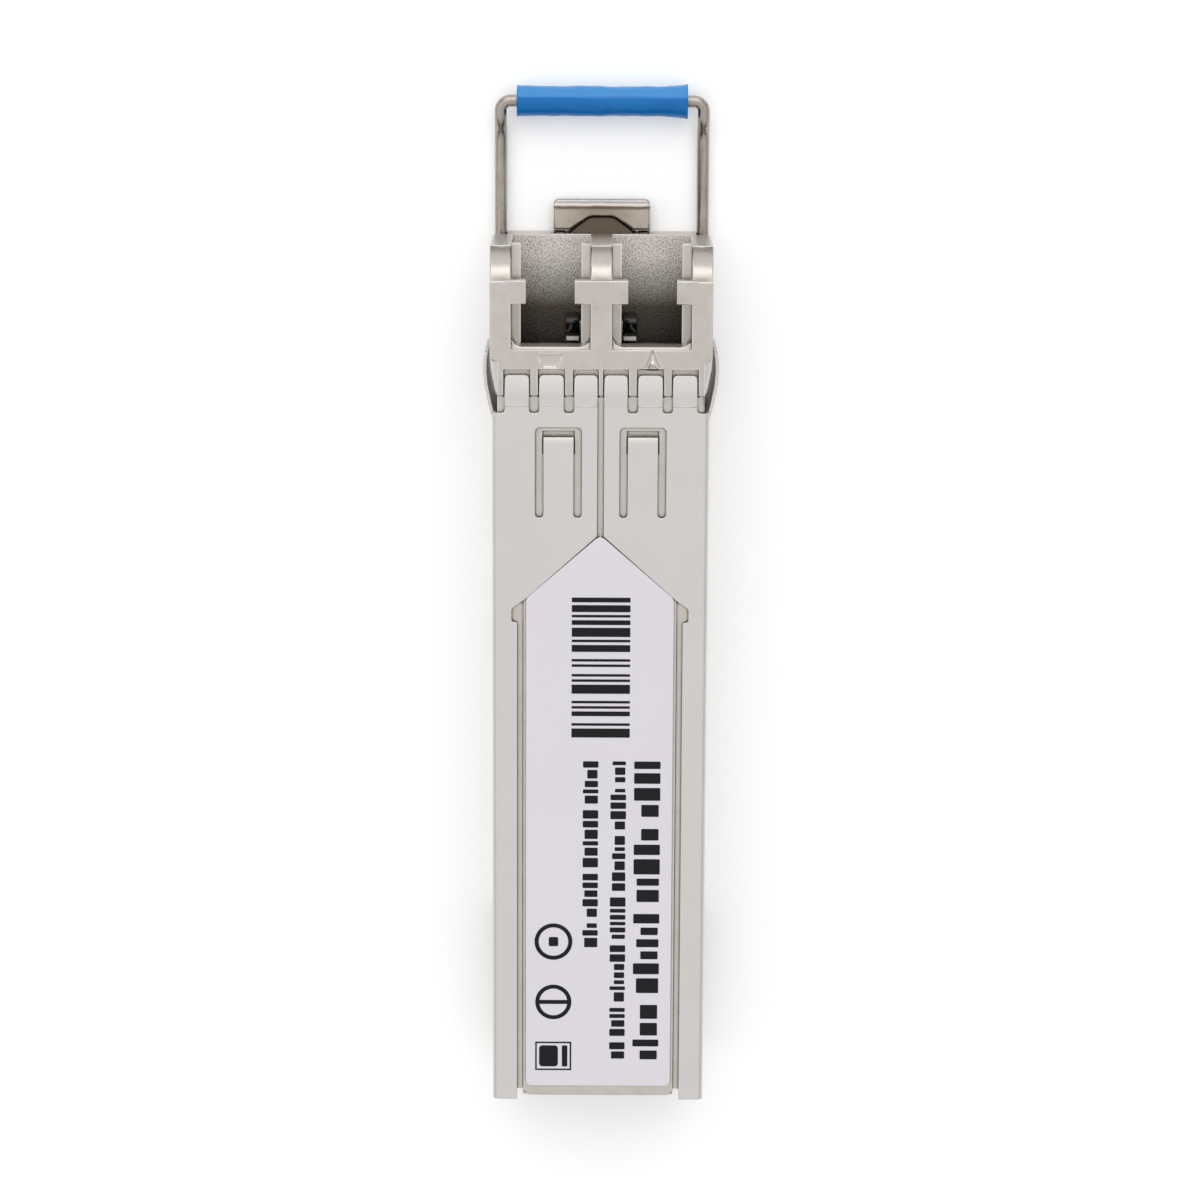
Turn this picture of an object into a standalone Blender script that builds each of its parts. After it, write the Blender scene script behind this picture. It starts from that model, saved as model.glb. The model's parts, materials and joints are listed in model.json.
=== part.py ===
"""Small pluggable optical transceiver with two LC ports and a wire bail latch.

Frame: +Z up, the nose and its bail point to -Y, and the underside of the sheet shell is z = 0. The origin
is in the middle of that underside. Lengths are in millimetres, and MM turns them into Blender's metres. A
place along the body is given as d, the distance behind the nose's front face. The bail is modelled swung
open, which is joint value 0, and the latch boss is then drawn in.
"""

import math

import bmesh
import bpy
from mathutils import Matrix, Vector

MM = 0.001

# Housing
BODY_LENGTH = 54.7
STOP_D = 7.1
NOSE_HALF = 6.85
NOSE_TOP = 8.6
NECK_HALF = 6.4
CAST_LOW = 0.3
CAST_TOP = 8.2
TEETH_END_D = 9.24
RAIL_HALF = 5.45
CHAMBER_HALF = 5.95
CHAMBER_START_D = 11.3
CHAMBER_END_D = 19.2
ROOF_UNDERSIDE = 7.2
TRAY_END_D = 44.0
TRAY_TOP = 2.0
BAY_CEILING = 5.25
SKIRT_LOW = 1.8
CAST_END_D = 54.1
PLATFORM_TOP = 8.4
PLATFORM_HALF = 4.79
PLATFORM_END_D = 54.46

# Ports
PORT_PITCH = 6.25
PORT_INNER = 0.66
PORT_OUTER = 5.55
PORT_LOW = 1.6
PORT_TOP = 6.5
PORT_END_D = 9.3
LEDGE_TOP = 7.0
LEDGE_WIDTH = 0.58
MOUTH_END_D = 6.22
MOUTH_CORNER = 0.7
TAB_D = (2.12, 3.56)
TAB_LOW = 7.6
TAB_REACH = 1.0
SADDLE_RADIUS = 1.3
SADDLE_D = 0.98
SADDLE_Z = 9.1

# Sheet shell
SHELL_HALF = 6.7
SHELL_TOP = 8.5
SHEET = 0.25
SHELL_CORNER = 0.38
SHELL_FRONT_D = 9.9
FINGER_ROOT_D = 10.31
SHELL_SIDE_FRONT_D = 10.9
FINGER_TIP_D = 7.97
FINGERS = ((0.2, 1.65), (2.28, 3.81), (4.42, 5.93))
FINGER_CORNER = 0.2
POCKET_FRONT_D = 7.6
POCKET_Z = 8.0
POCKET_GAP = 0.07
SEAM_HALF = 0.2
TONGUE_SLOT = (1.17, 4.05)
TONGUE = (1.67, 3.54)
TONGUE_SLOT_D = (11.21, 16.87)
TONGUE_TIP_D = 11.83
TONGUE_POCKET_D = (11.48, 12.9)
TONGUE_POCKET_Z = 7.85
WINDOW_TIP_D = 17.86
WINDOW_SHOULDER_D = 22.05
WINDOW_HALF = 5.15
WINDOW_EAR = 5.5
WINDOW_EAR_END_D = 23.5
LATCH_NOTCH_HALF = 3.4
LATCH_NOTCH_END_D = 12.4
SIDE_FINGER_Z = (0.95, 2.7, 4.45, 6.2)
SIDE_FINGER_HEIGHT = 1.35

# Label
LABEL_HALF = 4.6
LABEL_TIP_D = 17.95
LABEL_SHOULDER_D = 21.98
LABEL_END_D = 53.78

# Circuit board
BOARD_Z = (2.25, 3.25)
BOARD_HALF = 5.3
BOARD_D = (19.6, 51.4)
EDGE_HALF = 4.6
EDGE_START_D = 45.5

# Optics
OPTIC_X = PORT_PITCH / 2
OPTIC_Z = 4.05
BARREL_FRONT_D = 6.7
BARREL_RADIUS = 1.42
FLANGE_RADIUS = 2.2
GROOVE_RADIUS = 1.7
CAN_RADIUS = 1.95
HEADER_RADIUS = 2.7

# Latch rocker, described with the bail closed and then swung open by OPEN_TILT
ROCKER_PIVOT_D = 4.5
ROCKER_PIVOT_Z = 0.7
OPEN_TILT = math.radians(5.6)
ROCKER_HALF = 3.03
BLOCK_FRONT_D = -2.07
BOSS_HALF = 1.3
BOSS_D = 9.6
BOSS_DROP = 0.45
CAVITY_HALF = 3.15
CAVITY_TOP = 1.35
PIN_RADIUS = 0.34

# Bail
WIRE_RADIUS = 0.375
BAIL_PIVOT_D = 0.72
BAIL_PIVOT_Z = 1.57
LEG_X = 6.35
LEG_Z = 0.45
CROSSBAR_D = -8.25
CROSSBAR_Z = 1.2
STUB_END_X = 5.7
SLEEVE_HALF = 5.33
SLEEVE_RADIUS = 0.94
SLEEVE_FLARE = 1.08

FIT = 0.05

for old in list(bpy.data.objects):
    bpy.data.objects.remove(old)
PARTS = bpy.data.collections.new("optical_transceiver")
CUTTERS = bpy.data.collections.new("cutters")
for group in (PARTS, CUTTERS):
    bpy.context.scene.collection.children.link(group)


def material(name, colour, roughness, metallic):
    finish = bpy.data.materials.new(name)
    finish.use_nodes = True
    shader = finish.node_tree.nodes["Principled BSDF"]
    shader.inputs["Base Color"].default_value = (*colour, 1.0)
    shader.inputs["Roughness"].default_value = roughness
    shader.inputs["Metallic"].default_value = metallic
    finish.diffuse_color = (*colour, 1.0)
    return finish


CAST_NICKEL = material("cast_nickel", (0.56, 0.54, 0.49), 0.42, 1.0)
SHEET_NICKEL = material("sheet_nickel", (0.62, 0.61, 0.58), 0.34, 1.0)
WIRE_STEEL = material("wire_steel", (0.60, 0.59, 0.57), 0.22, 1.0)
BLUE_PLASTIC = material("blue_plastic", (0.01, 0.24, 0.66), 0.45, 0.0)
LABEL_WHITE = material("label_white", (0.78, 0.75, 0.79), 0.5, 0.0)
BOARD_GREEN = material("board_green", (0.02, 0.16, 0.06), 0.4, 0.0)
BARREL_STEEL = material("barrel_steel", (0.55, 0.55, 0.56), 0.3, 1.0)
CERAMIC = material("ceramic", (0.85, 0.84, 0.80), 0.25, 0.0)
GOLD = material("gold", (0.83, 0.61, 0.24), 0.25, 1.0)
CHIP_BLACK = material("chip_black", (0.02, 0.02, 0.022), 0.5, 0.0)
FLEX_AMBER = material("flex_amber", (0.45, 0.22, 0.04), 0.4, 0.0)
GASKET_GREY = material("gasket_grey", (0.10, 0.10, 0.11), 0.8, 0.0)
PAD_PINK = material("pad_pink", (0.60, 0.35, 0.38), 0.8, 0.0)
FERRITE_GREY = material("ferrite_grey", (0.09, 0.09, 0.10), 0.6, 0.0)
TANTALUM_ORANGE = material("tantalum_orange", (0.75, 0.40, 0.06), 0.45, 0.0)


def at(x, d, z):
    """A point in metres from millimetres, d back from the nose's front face."""
    return Vector((x, d - BODY_LENGTH / 2, z)) * MM


def add(name, mesh, group=PARTS, finish=None, place=None):
    thing = bpy.data.objects.new(name, mesh)
    group.objects.link(thing)
    if finish:
        mesh.materials.clear()
        mesh.materials.append(finish)
    if place:
        thing.location = place
    if group is CUTTERS:
        thing.hide_render = True
        thing.display_type = "WIRE"
    return thing


def mesh_from(shape, name):
    bmesh.ops.recalc_face_normals(shape, faces=shape.faces)
    mesh = bpy.data.meshes.new(name)
    shape.to_mesh(mesh)
    shape.free()
    return mesh


def block(name, x, d, z, group=CUTTERS, finish=None):
    """A box between (low, high) pairs."""
    low = at(x[0], d[0], z[0])
    high = at(x[1], d[1], z[1])
    shape = bmesh.new()
    bmesh.ops.create_cube(shape, size=1.0)
    bmesh.ops.scale(shape, vec=high - low, verts=shape.verts)
    return add(name, mesh_from(shape, name), group, finish, (low + high) / 2)


def rod(name, centre, radius, length, axis="X", group=CUTTERS, finish=None, steps=32):
    """A round bar along a world axis, centred on a point given by at()."""
    quarter = math.pi / 2
    turn = {"X": Matrix.Rotation(quarter, 4, "Y"), "Y": Matrix.Rotation(quarter, 4, "X"), "Z": Matrix()}
    shape = bmesh.new()
    bmesh.ops.create_cone(
        shape,
        cap_ends=True,
        segments=steps,
        radius1=radius * MM,
        radius2=radius * MM,
        depth=length * MM,
        matrix=turn[axis],
    )
    return add(name, mesh_from(shape, name), group, finish, centre)


def curve_to_mesh(curve, name):
    """The closed mesh of a curve object, which it removes."""
    bpy.context.view_layer.update()
    graph = bpy.context.evaluated_depsgraph_get()
    mesh = bpy.data.meshes.new_from_object(curve.evaluated_get(graph))
    mesh.name = name
    bpy.data.objects.remove(curve)
    shape = bmesh.new()
    shape.from_mesh(mesh)
    bmesh.ops.remove_doubles(shape, verts=shape.verts, dist=1e-7)
    bmesh.ops.dissolve_limit(shape, angle_limit=1e-4, verts=shape.verts, edges=shape.edges)
    bmesh.ops.recalc_face_normals(shape, faces=shape.faces)
    shape.to_mesh(mesh)
    shape.free()
    return mesh


PLANES = {
    "top": Matrix(),
    "side": Matrix(((0, 0, 1, 0), (1, 0, 0, 0), (0, 1, 0, 0), (0, 0, 0, 1))),
}


def prism(name, outline, span, plane="top", group=CUTTERS, finish=None):
    """A flat outline pushed through a span: "top" outlines (x, d) in z, and "side" ones (d, z) in x."""
    curve = bpy.data.curves.new(name, "CURVE")
    curve.dimensions = "2D"
    curve.fill_mode = "BOTH"
    curve.extrude = (span[1] - span[0]) / 2 * MM
    line = curve.splines.new("POLY")
    line.points.add(len(outline) - 1)
    line.use_cyclic_u = True
    for point, (across, along) in zip(line.points, outline):
        point.co = (across * MM, along * MM, 0.0, 1.0)
    thing = bpy.data.objects.new(name, curve)
    bpy.context.scene.collection.objects.link(thing)
    mesh = curve_to_mesh(thing, name)
    mesh.transform(PLANES[plane])
    middle = (span[0] + span[1]) / 2
    place = at(0, 0, middle) if plane == "top" else at(middle, 0, 0)
    return add(name, mesh, group, finish, place)


def rounded(corners, steps=4):
    """An outline or a path from (x, y, ..., radius) corners, each radius made an arc. Ends keep radius 0."""
    points = []
    count = len(corners)
    for index, (*corner, radius) in enumerate(corners):
        corner = Vector(corner)
        if radius == 0:
            points.append(corner)
            continue
        before = (Vector(corners[index - 1][:-1]) - corner).normalized()
        after = (Vector(corners[(index + 1) % count][:-1]) - corner).normalized()
        half = before.angle(after) / 2
        centre = corner + (before + after).normalized() * radius / math.sin(half)
        start = corner + before * radius / math.tan(half) - centre
        end = corner + after * radius / math.tan(half) - centre
        sweep = math.pi - 2 * half
        for step in range(steps + 1):
            part = step / steps
            blend = start * math.sin((1 - part) * sweep) + end * math.sin(part * sweep)
            points.append(centre + blend / math.sin(sweep))
    return points


def strip(path, thickness):
    """The outline of a strip of even thickness along a 2D path."""
    path = [Vector(point) for point in path]
    left = []
    right = []
    for index, point in enumerate(path):
        before = (point - path[index - 1]).normalized() if index else None
        after = (path[index + 1] - point).normalized() if index + 1 < len(path) else None
        along = ((before or after) + (after or before)).normalized()
        reach = thickness / 2 / along.dot(before or after)
        side = Vector((-along.y, along.x)) * reach
        left.append(point + side)
        right.append(point - side)
    return left + right[::-1]


def tube(name, path, radius, group=PARTS, finish=None):
    """Round wire along (x, d, z) points."""
    curve = bpy.data.curves.new(name, "CURVE")
    curve.dimensions = "3D"
    curve.bevel_depth = radius * MM
    curve.bevel_resolution = 2
    curve.use_fill_caps = True
    line = curve.splines.new("POLY")
    line.points.add(len(path) - 1)
    for point, place in zip(line.points, path):
        point.co = (*(Vector(place) * MM), 1.0)
    thing = bpy.data.objects.new(name, curve)
    bpy.context.scene.collection.objects.link(thing)
    return add(name, curve_to_mesh(thing, name), group, finish)


def turned(name, profile, axis, finish, steps=32):
    """A closed (radius, along) profile turned about +Y or +X, which runs forward on its outer side."""
    shape = bmesh.new()
    corners = [shape.verts.new((radius * MM, 0.0, along * MM)) for radius, along in profile]
    for index, corner in enumerate(corners):
        following = corners[(index + 1) % len(corners)]
        if corner.co.x or following.co.x:
            shape.edges.new((corner, following))
    mesh = bpy.data.meshes.new(name)
    shape.to_mesh(mesh)
    shape.free()
    thing = add(name, mesh, PARTS, finish)
    screw = thing.modifiers.new("turn", "SCREW")
    screw.angle = 2 * math.pi
    screw.steps = steps
    screw.render_steps = steps
    screw.use_merge_vertices = True
    screw.merge_threshold = 1e-6
    thing.rotation_euler = (-math.pi / 2, 0, 0) if axis == "Y" else (0, math.pi / 2, 0)
    return thing


def boolean(target, tool, operation):
    modifier = target.modifiers.new(tool.name, "BOOLEAN")
    modifier.operation = operation
    modifier.solver = "EXACT"
    modifier.object = tool


def cut(target, *tools):
    for tool in tools:
        boolean(target, tool, "DIFFERENCE")


def join(target, *pieces):
    for piece in pieces:
        boolean(target, piece, "UNION")


def both(side, low, high):
    """An x pair on one side of the middle: side is 1 or -1."""
    return (low, high) if side > 0 else (-high, -low)


def pentagon(half, tip_d, shoulder_d, end_d, chamfer=0.0):
    """The label's outline in (x, d): a point towards the nose, and a square or chamfered rear end."""
    right = [(half, shoulder_d), (half, end_d - chamfer), (half - chamfer, end_d)]
    if chamfer == 0:
        right.pop()
    return [(0.0, tip_d)] + right + [(-x, d) for x, d in reversed(right)]


def top_housing():
    nose_corners = (
        (-NOSE_HALF, 0, 0.15),
        (NOSE_HALF, 0, 0.15),
        (NOSE_HALF, STOP_D, 0.3),
        (-NOSE_HALF, STOP_D, 0.3),
    )
    housing = prism("top_housing", rounded(nose_corners), (0, NOSE_TOP), group=PARTS, finish=CAST_NICKEL)
    neck = block("neck", (-NECK_HALF, NECK_HALF), (STOP_D - 1, CHAMBER_START_D), (CAST_LOW, CAST_TOP))
    teeth = block("teeth", (-NECK_HALF, NECK_HALF), (STOP_D - 1, TEETH_END_D), (CAST_TOP - 1, NOSE_TOP))
    spine = block("spine", (-NECK_HALF, NECK_HALF), (CHAMBER_START_D - 1, CAST_END_D), (SKIRT_LOW, CAST_TOP))
    platform_front = (WINDOW_TIP_D + 0.14, WINDOW_SHOULDER_D + 0.1)
    platform_shape = pentagon(PLATFORM_HALF, *platform_front, PLATFORM_END_D, 0.35)
    platform = prism("platform", platform_shape, (CAST_TOP - 1, PLATFORM_TOP))
    rear_d = (CAST_END_D - 1, PLATFORM_END_D)
    rear_block = block("rear_block", (-PLATFORM_HALF, PLATFORM_HALF), rear_d, (BAY_CEILING, CAST_TOP))
    join(housing, neck, teeth, spine, platform, rear_block)

    wide = (-CHAMBER_HALF, CHAMBER_HALF)
    narrow = (-RAIL_HALF, RAIL_HALF)
    chamber = block("chamber", wide, (CHAMBER_START_D, CHAMBER_END_D), (-1, ROOF_UNDERSIDE))
    bay = block("bay", narrow, (CHAMBER_END_D - 1, TRAY_END_D + 0.5), (-1, ROOF_UNDERSIDE - 0.01))
    edge_bay = block("edge_bay", narrow, (TRAY_END_D, BODY_LENGTH + 1), (-1, BAY_CEILING + 0.01))
    tray_space = block("tray_space", (-8, 8), (CHAMBER_START_D, TRAY_END_D + 0.1), (-1, TRAY_TOP + FIT))
    cut(housing, chamber, bay, edge_bay, tray_space)
    for low, high in FINGERS:
        for side, name in ((1, "left"), (-1, "right")):
            width = both(side, low - POCKET_GAP, high + POCKET_GAP)
            pocket_d = (POCKET_FRONT_D, TEETH_END_D + 0.1)
            cut(housing, block(f"finger_pocket_{name}_{low:.0f}", width, pocket_d, (POCKET_Z, 9)))
    for side, name in ((1, "left"), (-1, "right")):
        width = both(side, TONGUE[0] - 0.05, TONGUE[1] + 0.05)
        cut(housing, block("tongue_pocket_" + name, width, TONGUE_POCKET_D, (TONGUE_POCKET_Z, 9)))
    heat_post = block("heat_post", (0.5, 4.5), (25.2, 29.2), (5.2, ROOF_UNDERSIDE + 0.5))
    join(housing, heat_post)

    saddle = rod("saddle", at(0, SADDLE_D, SADDLE_Z), SADDLE_RADIUS, 16, steps=64)
    cut(housing, saddle)
    for side, name in ((1, "left"), (-1, "right")):
        mouth_sides = both(side, PORT_INNER, PORT_OUTER)
        throat_sides = both(side, PORT_INNER + LEDGE_WIDTH, PORT_OUTER - LEDGE_WIDTH)
        port = block("port_" + name, mouth_sides, (-1, PORT_END_D), (PORT_LOW, PORT_TOP))
        throat = block("throat_" + name, throat_sides, (-1, MOUTH_END_D), (PORT_TOP - 0.2, LEDGE_TOP + 0.2))
        mouth_corners = (
            (mouth_sides[0], -1, 0),
            (mouth_sides[1], -1, 0),
            (mouth_sides[1], MOUTH_END_D, MOUTH_CORNER),
            (mouth_sides[0], MOUTH_END_D, MOUTH_CORNER),
        )
        mouth = prism("mouth_" + name, rounded(mouth_corners), (LEDGE_TOP, 10))
        rim = block("rim_" + name, mouth_sides, (3.9, MOUTH_END_D + 0.14), (8.4, 10))
        bore = rod("bore_" + name, at(side * OPTIC_X, 10.5, OPTIC_Z), BARREL_RADIUS + 0.08, 4, "Y")
        cut(housing, port, throat, mouth, rim, bore)
        tab_sides = both(side, PORT_OUTER - TAB_REACH + 0.05, 5.9)
        side_tab = block("side_tab_" + name, tab_sides, TAB_D, (TAB_LOW, NOSE_TOP))
        join(housing, side_tab)
    reach = PORT_INNER + TAB_REACH
    centre_tab = block("centre_tab", (-reach, reach), TAB_D, (TAB_LOW, NOSE_TOP))
    join(housing, centre_tab)

    cavity = block("cavity", (-CAVITY_HALF, CAVITY_HALF), (-1, CHAMBER_START_D + 0.5), (-1, CAVITY_TOP))
    spring_pocket = rod("spring_pocket", at(0, 10.3, 2.0), 0.75, 2.0, "Z")
    pin_hole = rod("pin_hole", at(-1.2, ROCKER_PIVOT_D, ROCKER_PIVOT_Z), PIN_RADIUS + 0.03, 11.8)
    cut(housing, cavity, spring_pocket, pin_hole)
    for side, name in ((1, "left"), (-1, "right")):
        reach = WIRE_RADIUS + FIT + 0.01
        recess = block(
            "leg_recess_" + name,
            both(side, LEG_X - reach + 0.02, 8),
            (-1, BAIL_PIVOT_D + reach),
            (-1, BAIL_PIVOT_Z + reach),
        )
        hole_end = STUB_END_X - FIT
        hole_middle = at(side * (hole_end + LEG_X) / 2, BAIL_PIVOT_D, BAIL_PIVOT_Z)
        leg_hole = rod("leg_hole_" + name, hole_middle, WIRE_RADIUS + 0.045, LEG_X - hole_end)
        cut(housing, recess, leg_hole)
    mark_z = (NOSE_TOP - 0.08, 9)
    arrow_down = prism("mark_down", [(2.35, 6.65), (3.95, 6.65), (3.6, 7.45), (2.7, 7.45)], mark_z)
    arrow_up = prism("mark_up", strip([(-2.75, 7.5), (-3.17, 6.55), (-3.59, 7.5)], 0.16), mark_z)
    cut(housing, arrow_down, arrow_up)


def bottom_cover():
    cover = block(
        "bottom_cover",
        (-NECK_HALF, NECK_HALF),
        (CHAMBER_START_D + 0.3, TRAY_END_D),
        (CAST_LOW, TRAY_TOP),
        PARTS,
        CAST_NICKEL,
    )
    pocket_d = (CHAMBER_START_D, TRAY_END_D - 0.6)
    cut(cover, block("tray_pocket", (-CHAMBER_HALF, CHAMBER_HALF), pocket_d, (0.9, 3)))
    for name, start in (("front_rib", 20.6), ("rear_rib", 42.2)):
        join(cover, block(name, (-5.0, 5.0), (start, start + 0.8), (0.7, BOARD_Z[0] - FIT)))


def shell_section(inset, radius):
    """The shell's cross-section in (x, z), drawn inset from its outside."""
    half = SHELL_HALF - inset
    low = inset
    high = SHELL_TOP - inset
    corners = ((-half, low), (half, low), (half, high), (-half, high))
    return rounded([(*corner, radius) for corner in corners], 5)


def shell_tube(name, inset, radius, d, group, finish=None):
    """A length of the shell's section, as an outline in (x, z) stood up along the body."""
    pipe = prism(name, shell_section(inset, radius), d, "top", group, finish)
    pipe.data.transform(Matrix(((1, 0, 0, 0), (0, 0, 1, 0), (0, 1, 0, 0), (0, 0, 0, 1))))
    pipe.data.flip_normals()
    pipe.location = at(0, (d[0] + d[1]) / 2, 0)
    return pipe


def sheet_shell():
    shell = shell_tube("sheet_shell", 0, SHELL_CORNER, (SHELL_FRONT_D, BODY_LENGTH), PARTS, SHEET_NICKEL)
    cut(shell, shell_tube("shell_inside", SHEET, SHELL_CORNER - SHEET, (5, BODY_LENGTH + 5), CUTTERS))
    half = [
        (LABEL_HALF + 0.07, WINDOW_SHOULDER_D, 0),
        (WINDOW_EAR, WINDOW_SHOULDER_D + 0.6, 0.25),
        (WINDOW_EAR, WINDOW_EAR_END_D, 0.17),
        (WINDOW_HALF, WINDOW_EAR_END_D, 0.12),
        (WINDOW_HALF, BODY_LENGTH + 1, 0),
    ]
    window = rounded([(0.0, WINDOW_TIP_D, 0)] + half + [(-x, d, radius) for x, d, radius in reversed(half)])
    middle_z = SHELL_TOP - SHEET / 2
    seam = block("seam", (-SEAM_HALF, SEAM_HALF), (5, WINDOW_TIP_D + 0.3), (middle_z - 0.5, 9.5))
    rear_bay = block("rear_bay", (-9, 9), (TRAY_END_D + 0.2, BODY_LENGTH + 1), (-1, SKIRT_LOW - 0.2))
    latch_notch = block("latch_notch", (-LATCH_NOTCH_HALF, LATCH_NOTCH_HALF), (5, LATCH_NOTCH_END_D), (-1, 1))
    side_front = block("side_front", (-9, 9), (5, SHELL_SIDE_FRONT_D), (0.8, 7.7))
    cut(shell, prism("window", window, (middle_z - 0.5, 9.5)), seam, rear_bay, latch_notch, side_front)
    gaps = ((FINGERS[0][1], FINGERS[1][0]), (FINGERS[1][1], FINGERS[2][0]), (FINGERS[2][1], 8.0))
    tip = FINGER_TIP_D + FINGER_CORNER
    for side, name in ((1, "left"), (-1, "right")):
        round_end = (TONGUE_SLOT[0] + 0.25, TONGUE_SLOT_D[1])
        slot = rounded(
            (
                (side * TONGUE_SLOT[0], TONGUE_SLOT_D[0], 0.3),
                (side * TONGUE_SLOT[1], TONGUE_SLOT_D[0], 0.3),
                (side * TONGUE_SLOT[1], round_end[1], 0.24),
                (side * TONGUE[1], round_end[1], 0.24),
                (side * TONGUE[1], TONGUE_TIP_D, 0),
                (side * TONGUE[0], TONGUE_TIP_D, 0),
                (side * TONGUE[0], round_end[1], 0.24),
                (side * TONGUE_SLOT[0], round_end[1], 0.24),
            )
        )
        cut(shell, prism("tongue_slot_" + name, slot, (middle_z - 0.5, 9.5)))
        dip_end_d = TONGUE_TIP_D + 0.45
        dip = [(TONGUE_TIP_D - 0.2, SHELL_TOP - 0.2), (dip_end_d, SHELL_TOP), (dip_end_d, 9.5), (11, 9.5)]
        cut(shell, prism("tongue_dip_" + name, dip, both(side, TONGUE[0] - 0.01, TONGUE[1] + 0.01), "side"))

    def finger_bank(label, level, bulge, spans):
        """Front fingers that rise by bulge and dip at their tips, as separate strips joined to the shell."""
        bend = [
            (FINGER_ROOT_D + 0.3, level),
            (SHELL_FRONT_D, level),
            (9.3, level + bulge),
            (8.8, level + bulge),
            (FINGER_TIP_D, level - 0.3 * bulge),
        ]
        for side in (1, -1):
            for low, high in spans:
                name = f"{label}_{low:.0f}_{'left' if side > 0 else 'right'}"
                join(shell, prism(name, strip(bend, SHEET - 0.02), both(side, low, high), "side"))

    finger_bank("top_finger", middle_z, 0.12, FINGERS)
    spans = [both(side, low, high) for low, high in gaps for side in (1, -1)]
    for index, (left, right) in enumerate(spans + [(-FINGERS[0][0], FINGERS[0][0])]):
        ease = FINGER_CORNER * (1 - math.sqrt(0.5))
        corners = (
            (left, FINGER_ROOT_D, FINGER_CORNER),
            (left, tip, 0),
            (left - ease, tip - FINGER_CORNER + ease, 0),
            (left - FINGER_CORNER, tip - FINGER_CORNER, 0),
            (left - FINGER_CORNER, 5, 0),
            (right + FINGER_CORNER, 5, 0),
            (right + FINGER_CORNER, tip - FINGER_CORNER, 0),
            (right + ease, tip - FINGER_CORNER + ease, 0),
            (right, tip, 0),
            (right, FINGER_ROOT_D, FINGER_CORNER),
        )
        cut(shell, prism(f"finger_gap_{index}", rounded(corners), (-1, 10)))
    for side, name in ((1, "left"), (-1, "right")):
        low_d = (FINGER_TIP_D, FINGER_ROOT_D + 0.3)
        join(shell, block("low_finger_" + name, both(side, *FINGERS[2]), low_d, (0.01, SHEET - 0.01)))
        bend = [
            (side * (SHELL_HALF - 0.13), SHELL_SIDE_FRONT_D + 0.6),
            (side * (SHELL_HALF - 0.12), SHELL_SIDE_FRONT_D),
            (side * 6.86, 9.9),
            (side * 7.10, 8.7),
            (side * 7.17, 7.8),
            (side * 7.14, 7.1),
            (side * 7.08, 6.75),
        ]
        for index, low in enumerate(SIDE_FINGER_Z):
            outline = strip(bend, SHEET - 0.03)
            join(shell, prism(f"side_finger_{name}_{index}", outline, (low, low + SIDE_FINGER_HEIGHT)))


def label():
    outline = pentagon(LABEL_HALF, LABEL_TIP_D, LABEL_SHOULDER_D, LABEL_END_D)
    prism("label", outline, (PLATFORM_TOP + 0.02, SHELL_TOP), group=PARTS, finish=LABEL_WHITE)


def receptacle(name, side):
    """Barrel that takes the ferrule, with two flanges and the clamp's groove between them."""
    profile = [
        (0.5, 14.2),
        (FLANGE_RADIUS, 14.2),
        (FLANGE_RADIUS, 13.4),
        (GROOVE_RADIUS, 13.4),
        (GROOVE_RADIUS, 12.6),
        (FLANGE_RADIUS, 12.6),
        (FLANGE_RADIUS, 11.95),
        (BARREL_RADIUS, 11.95),
        (BARREL_RADIUS, BARREL_FRONT_D + 0.2),
        (BARREL_RADIUS - 0.15, BARREL_FRONT_D),
        (0.95, BARREL_FRONT_D),
        (0.80, BARREL_FRONT_D + 0.2),
        (0.80, 11.6),
        (0.5, 11.6),
    ]
    turned(name, profile, "Y", BARREL_STEEL).location = at(side * OPTIC_X, 0, OPTIC_Z)


def can(name, side, finish):
    """Sealed metal can on its header disc."""
    profile = [
        (0, 17.6),
        (HEADER_RADIUS, 17.6),
        (HEADER_RADIUS, 16.7),
        (CAN_RADIUS + 0.25, 16.7),
        (CAN_RADIUS + 0.25, 16.4),
        (CAN_RADIUS, 16.4),
        (CAN_RADIUS, 14.4),
        (CAN_RADIUS - 0.15, 14.25),
        (0, 14.25),
    ]
    turned(name, profile, "Y", finish).location = at(side * OPTIC_X, 0, OPTIC_Z)


def flex(name, side):
    """Flexible circuit from the can's leads down to the board."""
    top = BOARD_Z[1] + 0.09
    path = rounded(((17.75, 6.1, 0), (17.75, 4.4, 0), (18.4, top, 0.5), (22.0, top, 0)), 4)
    middle = side * OPTIC_X
    prism(name, strip(path, 0.12), (middle - 1.9, middle + 1.9), "side", PARTS, FLEX_AMBER)


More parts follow.
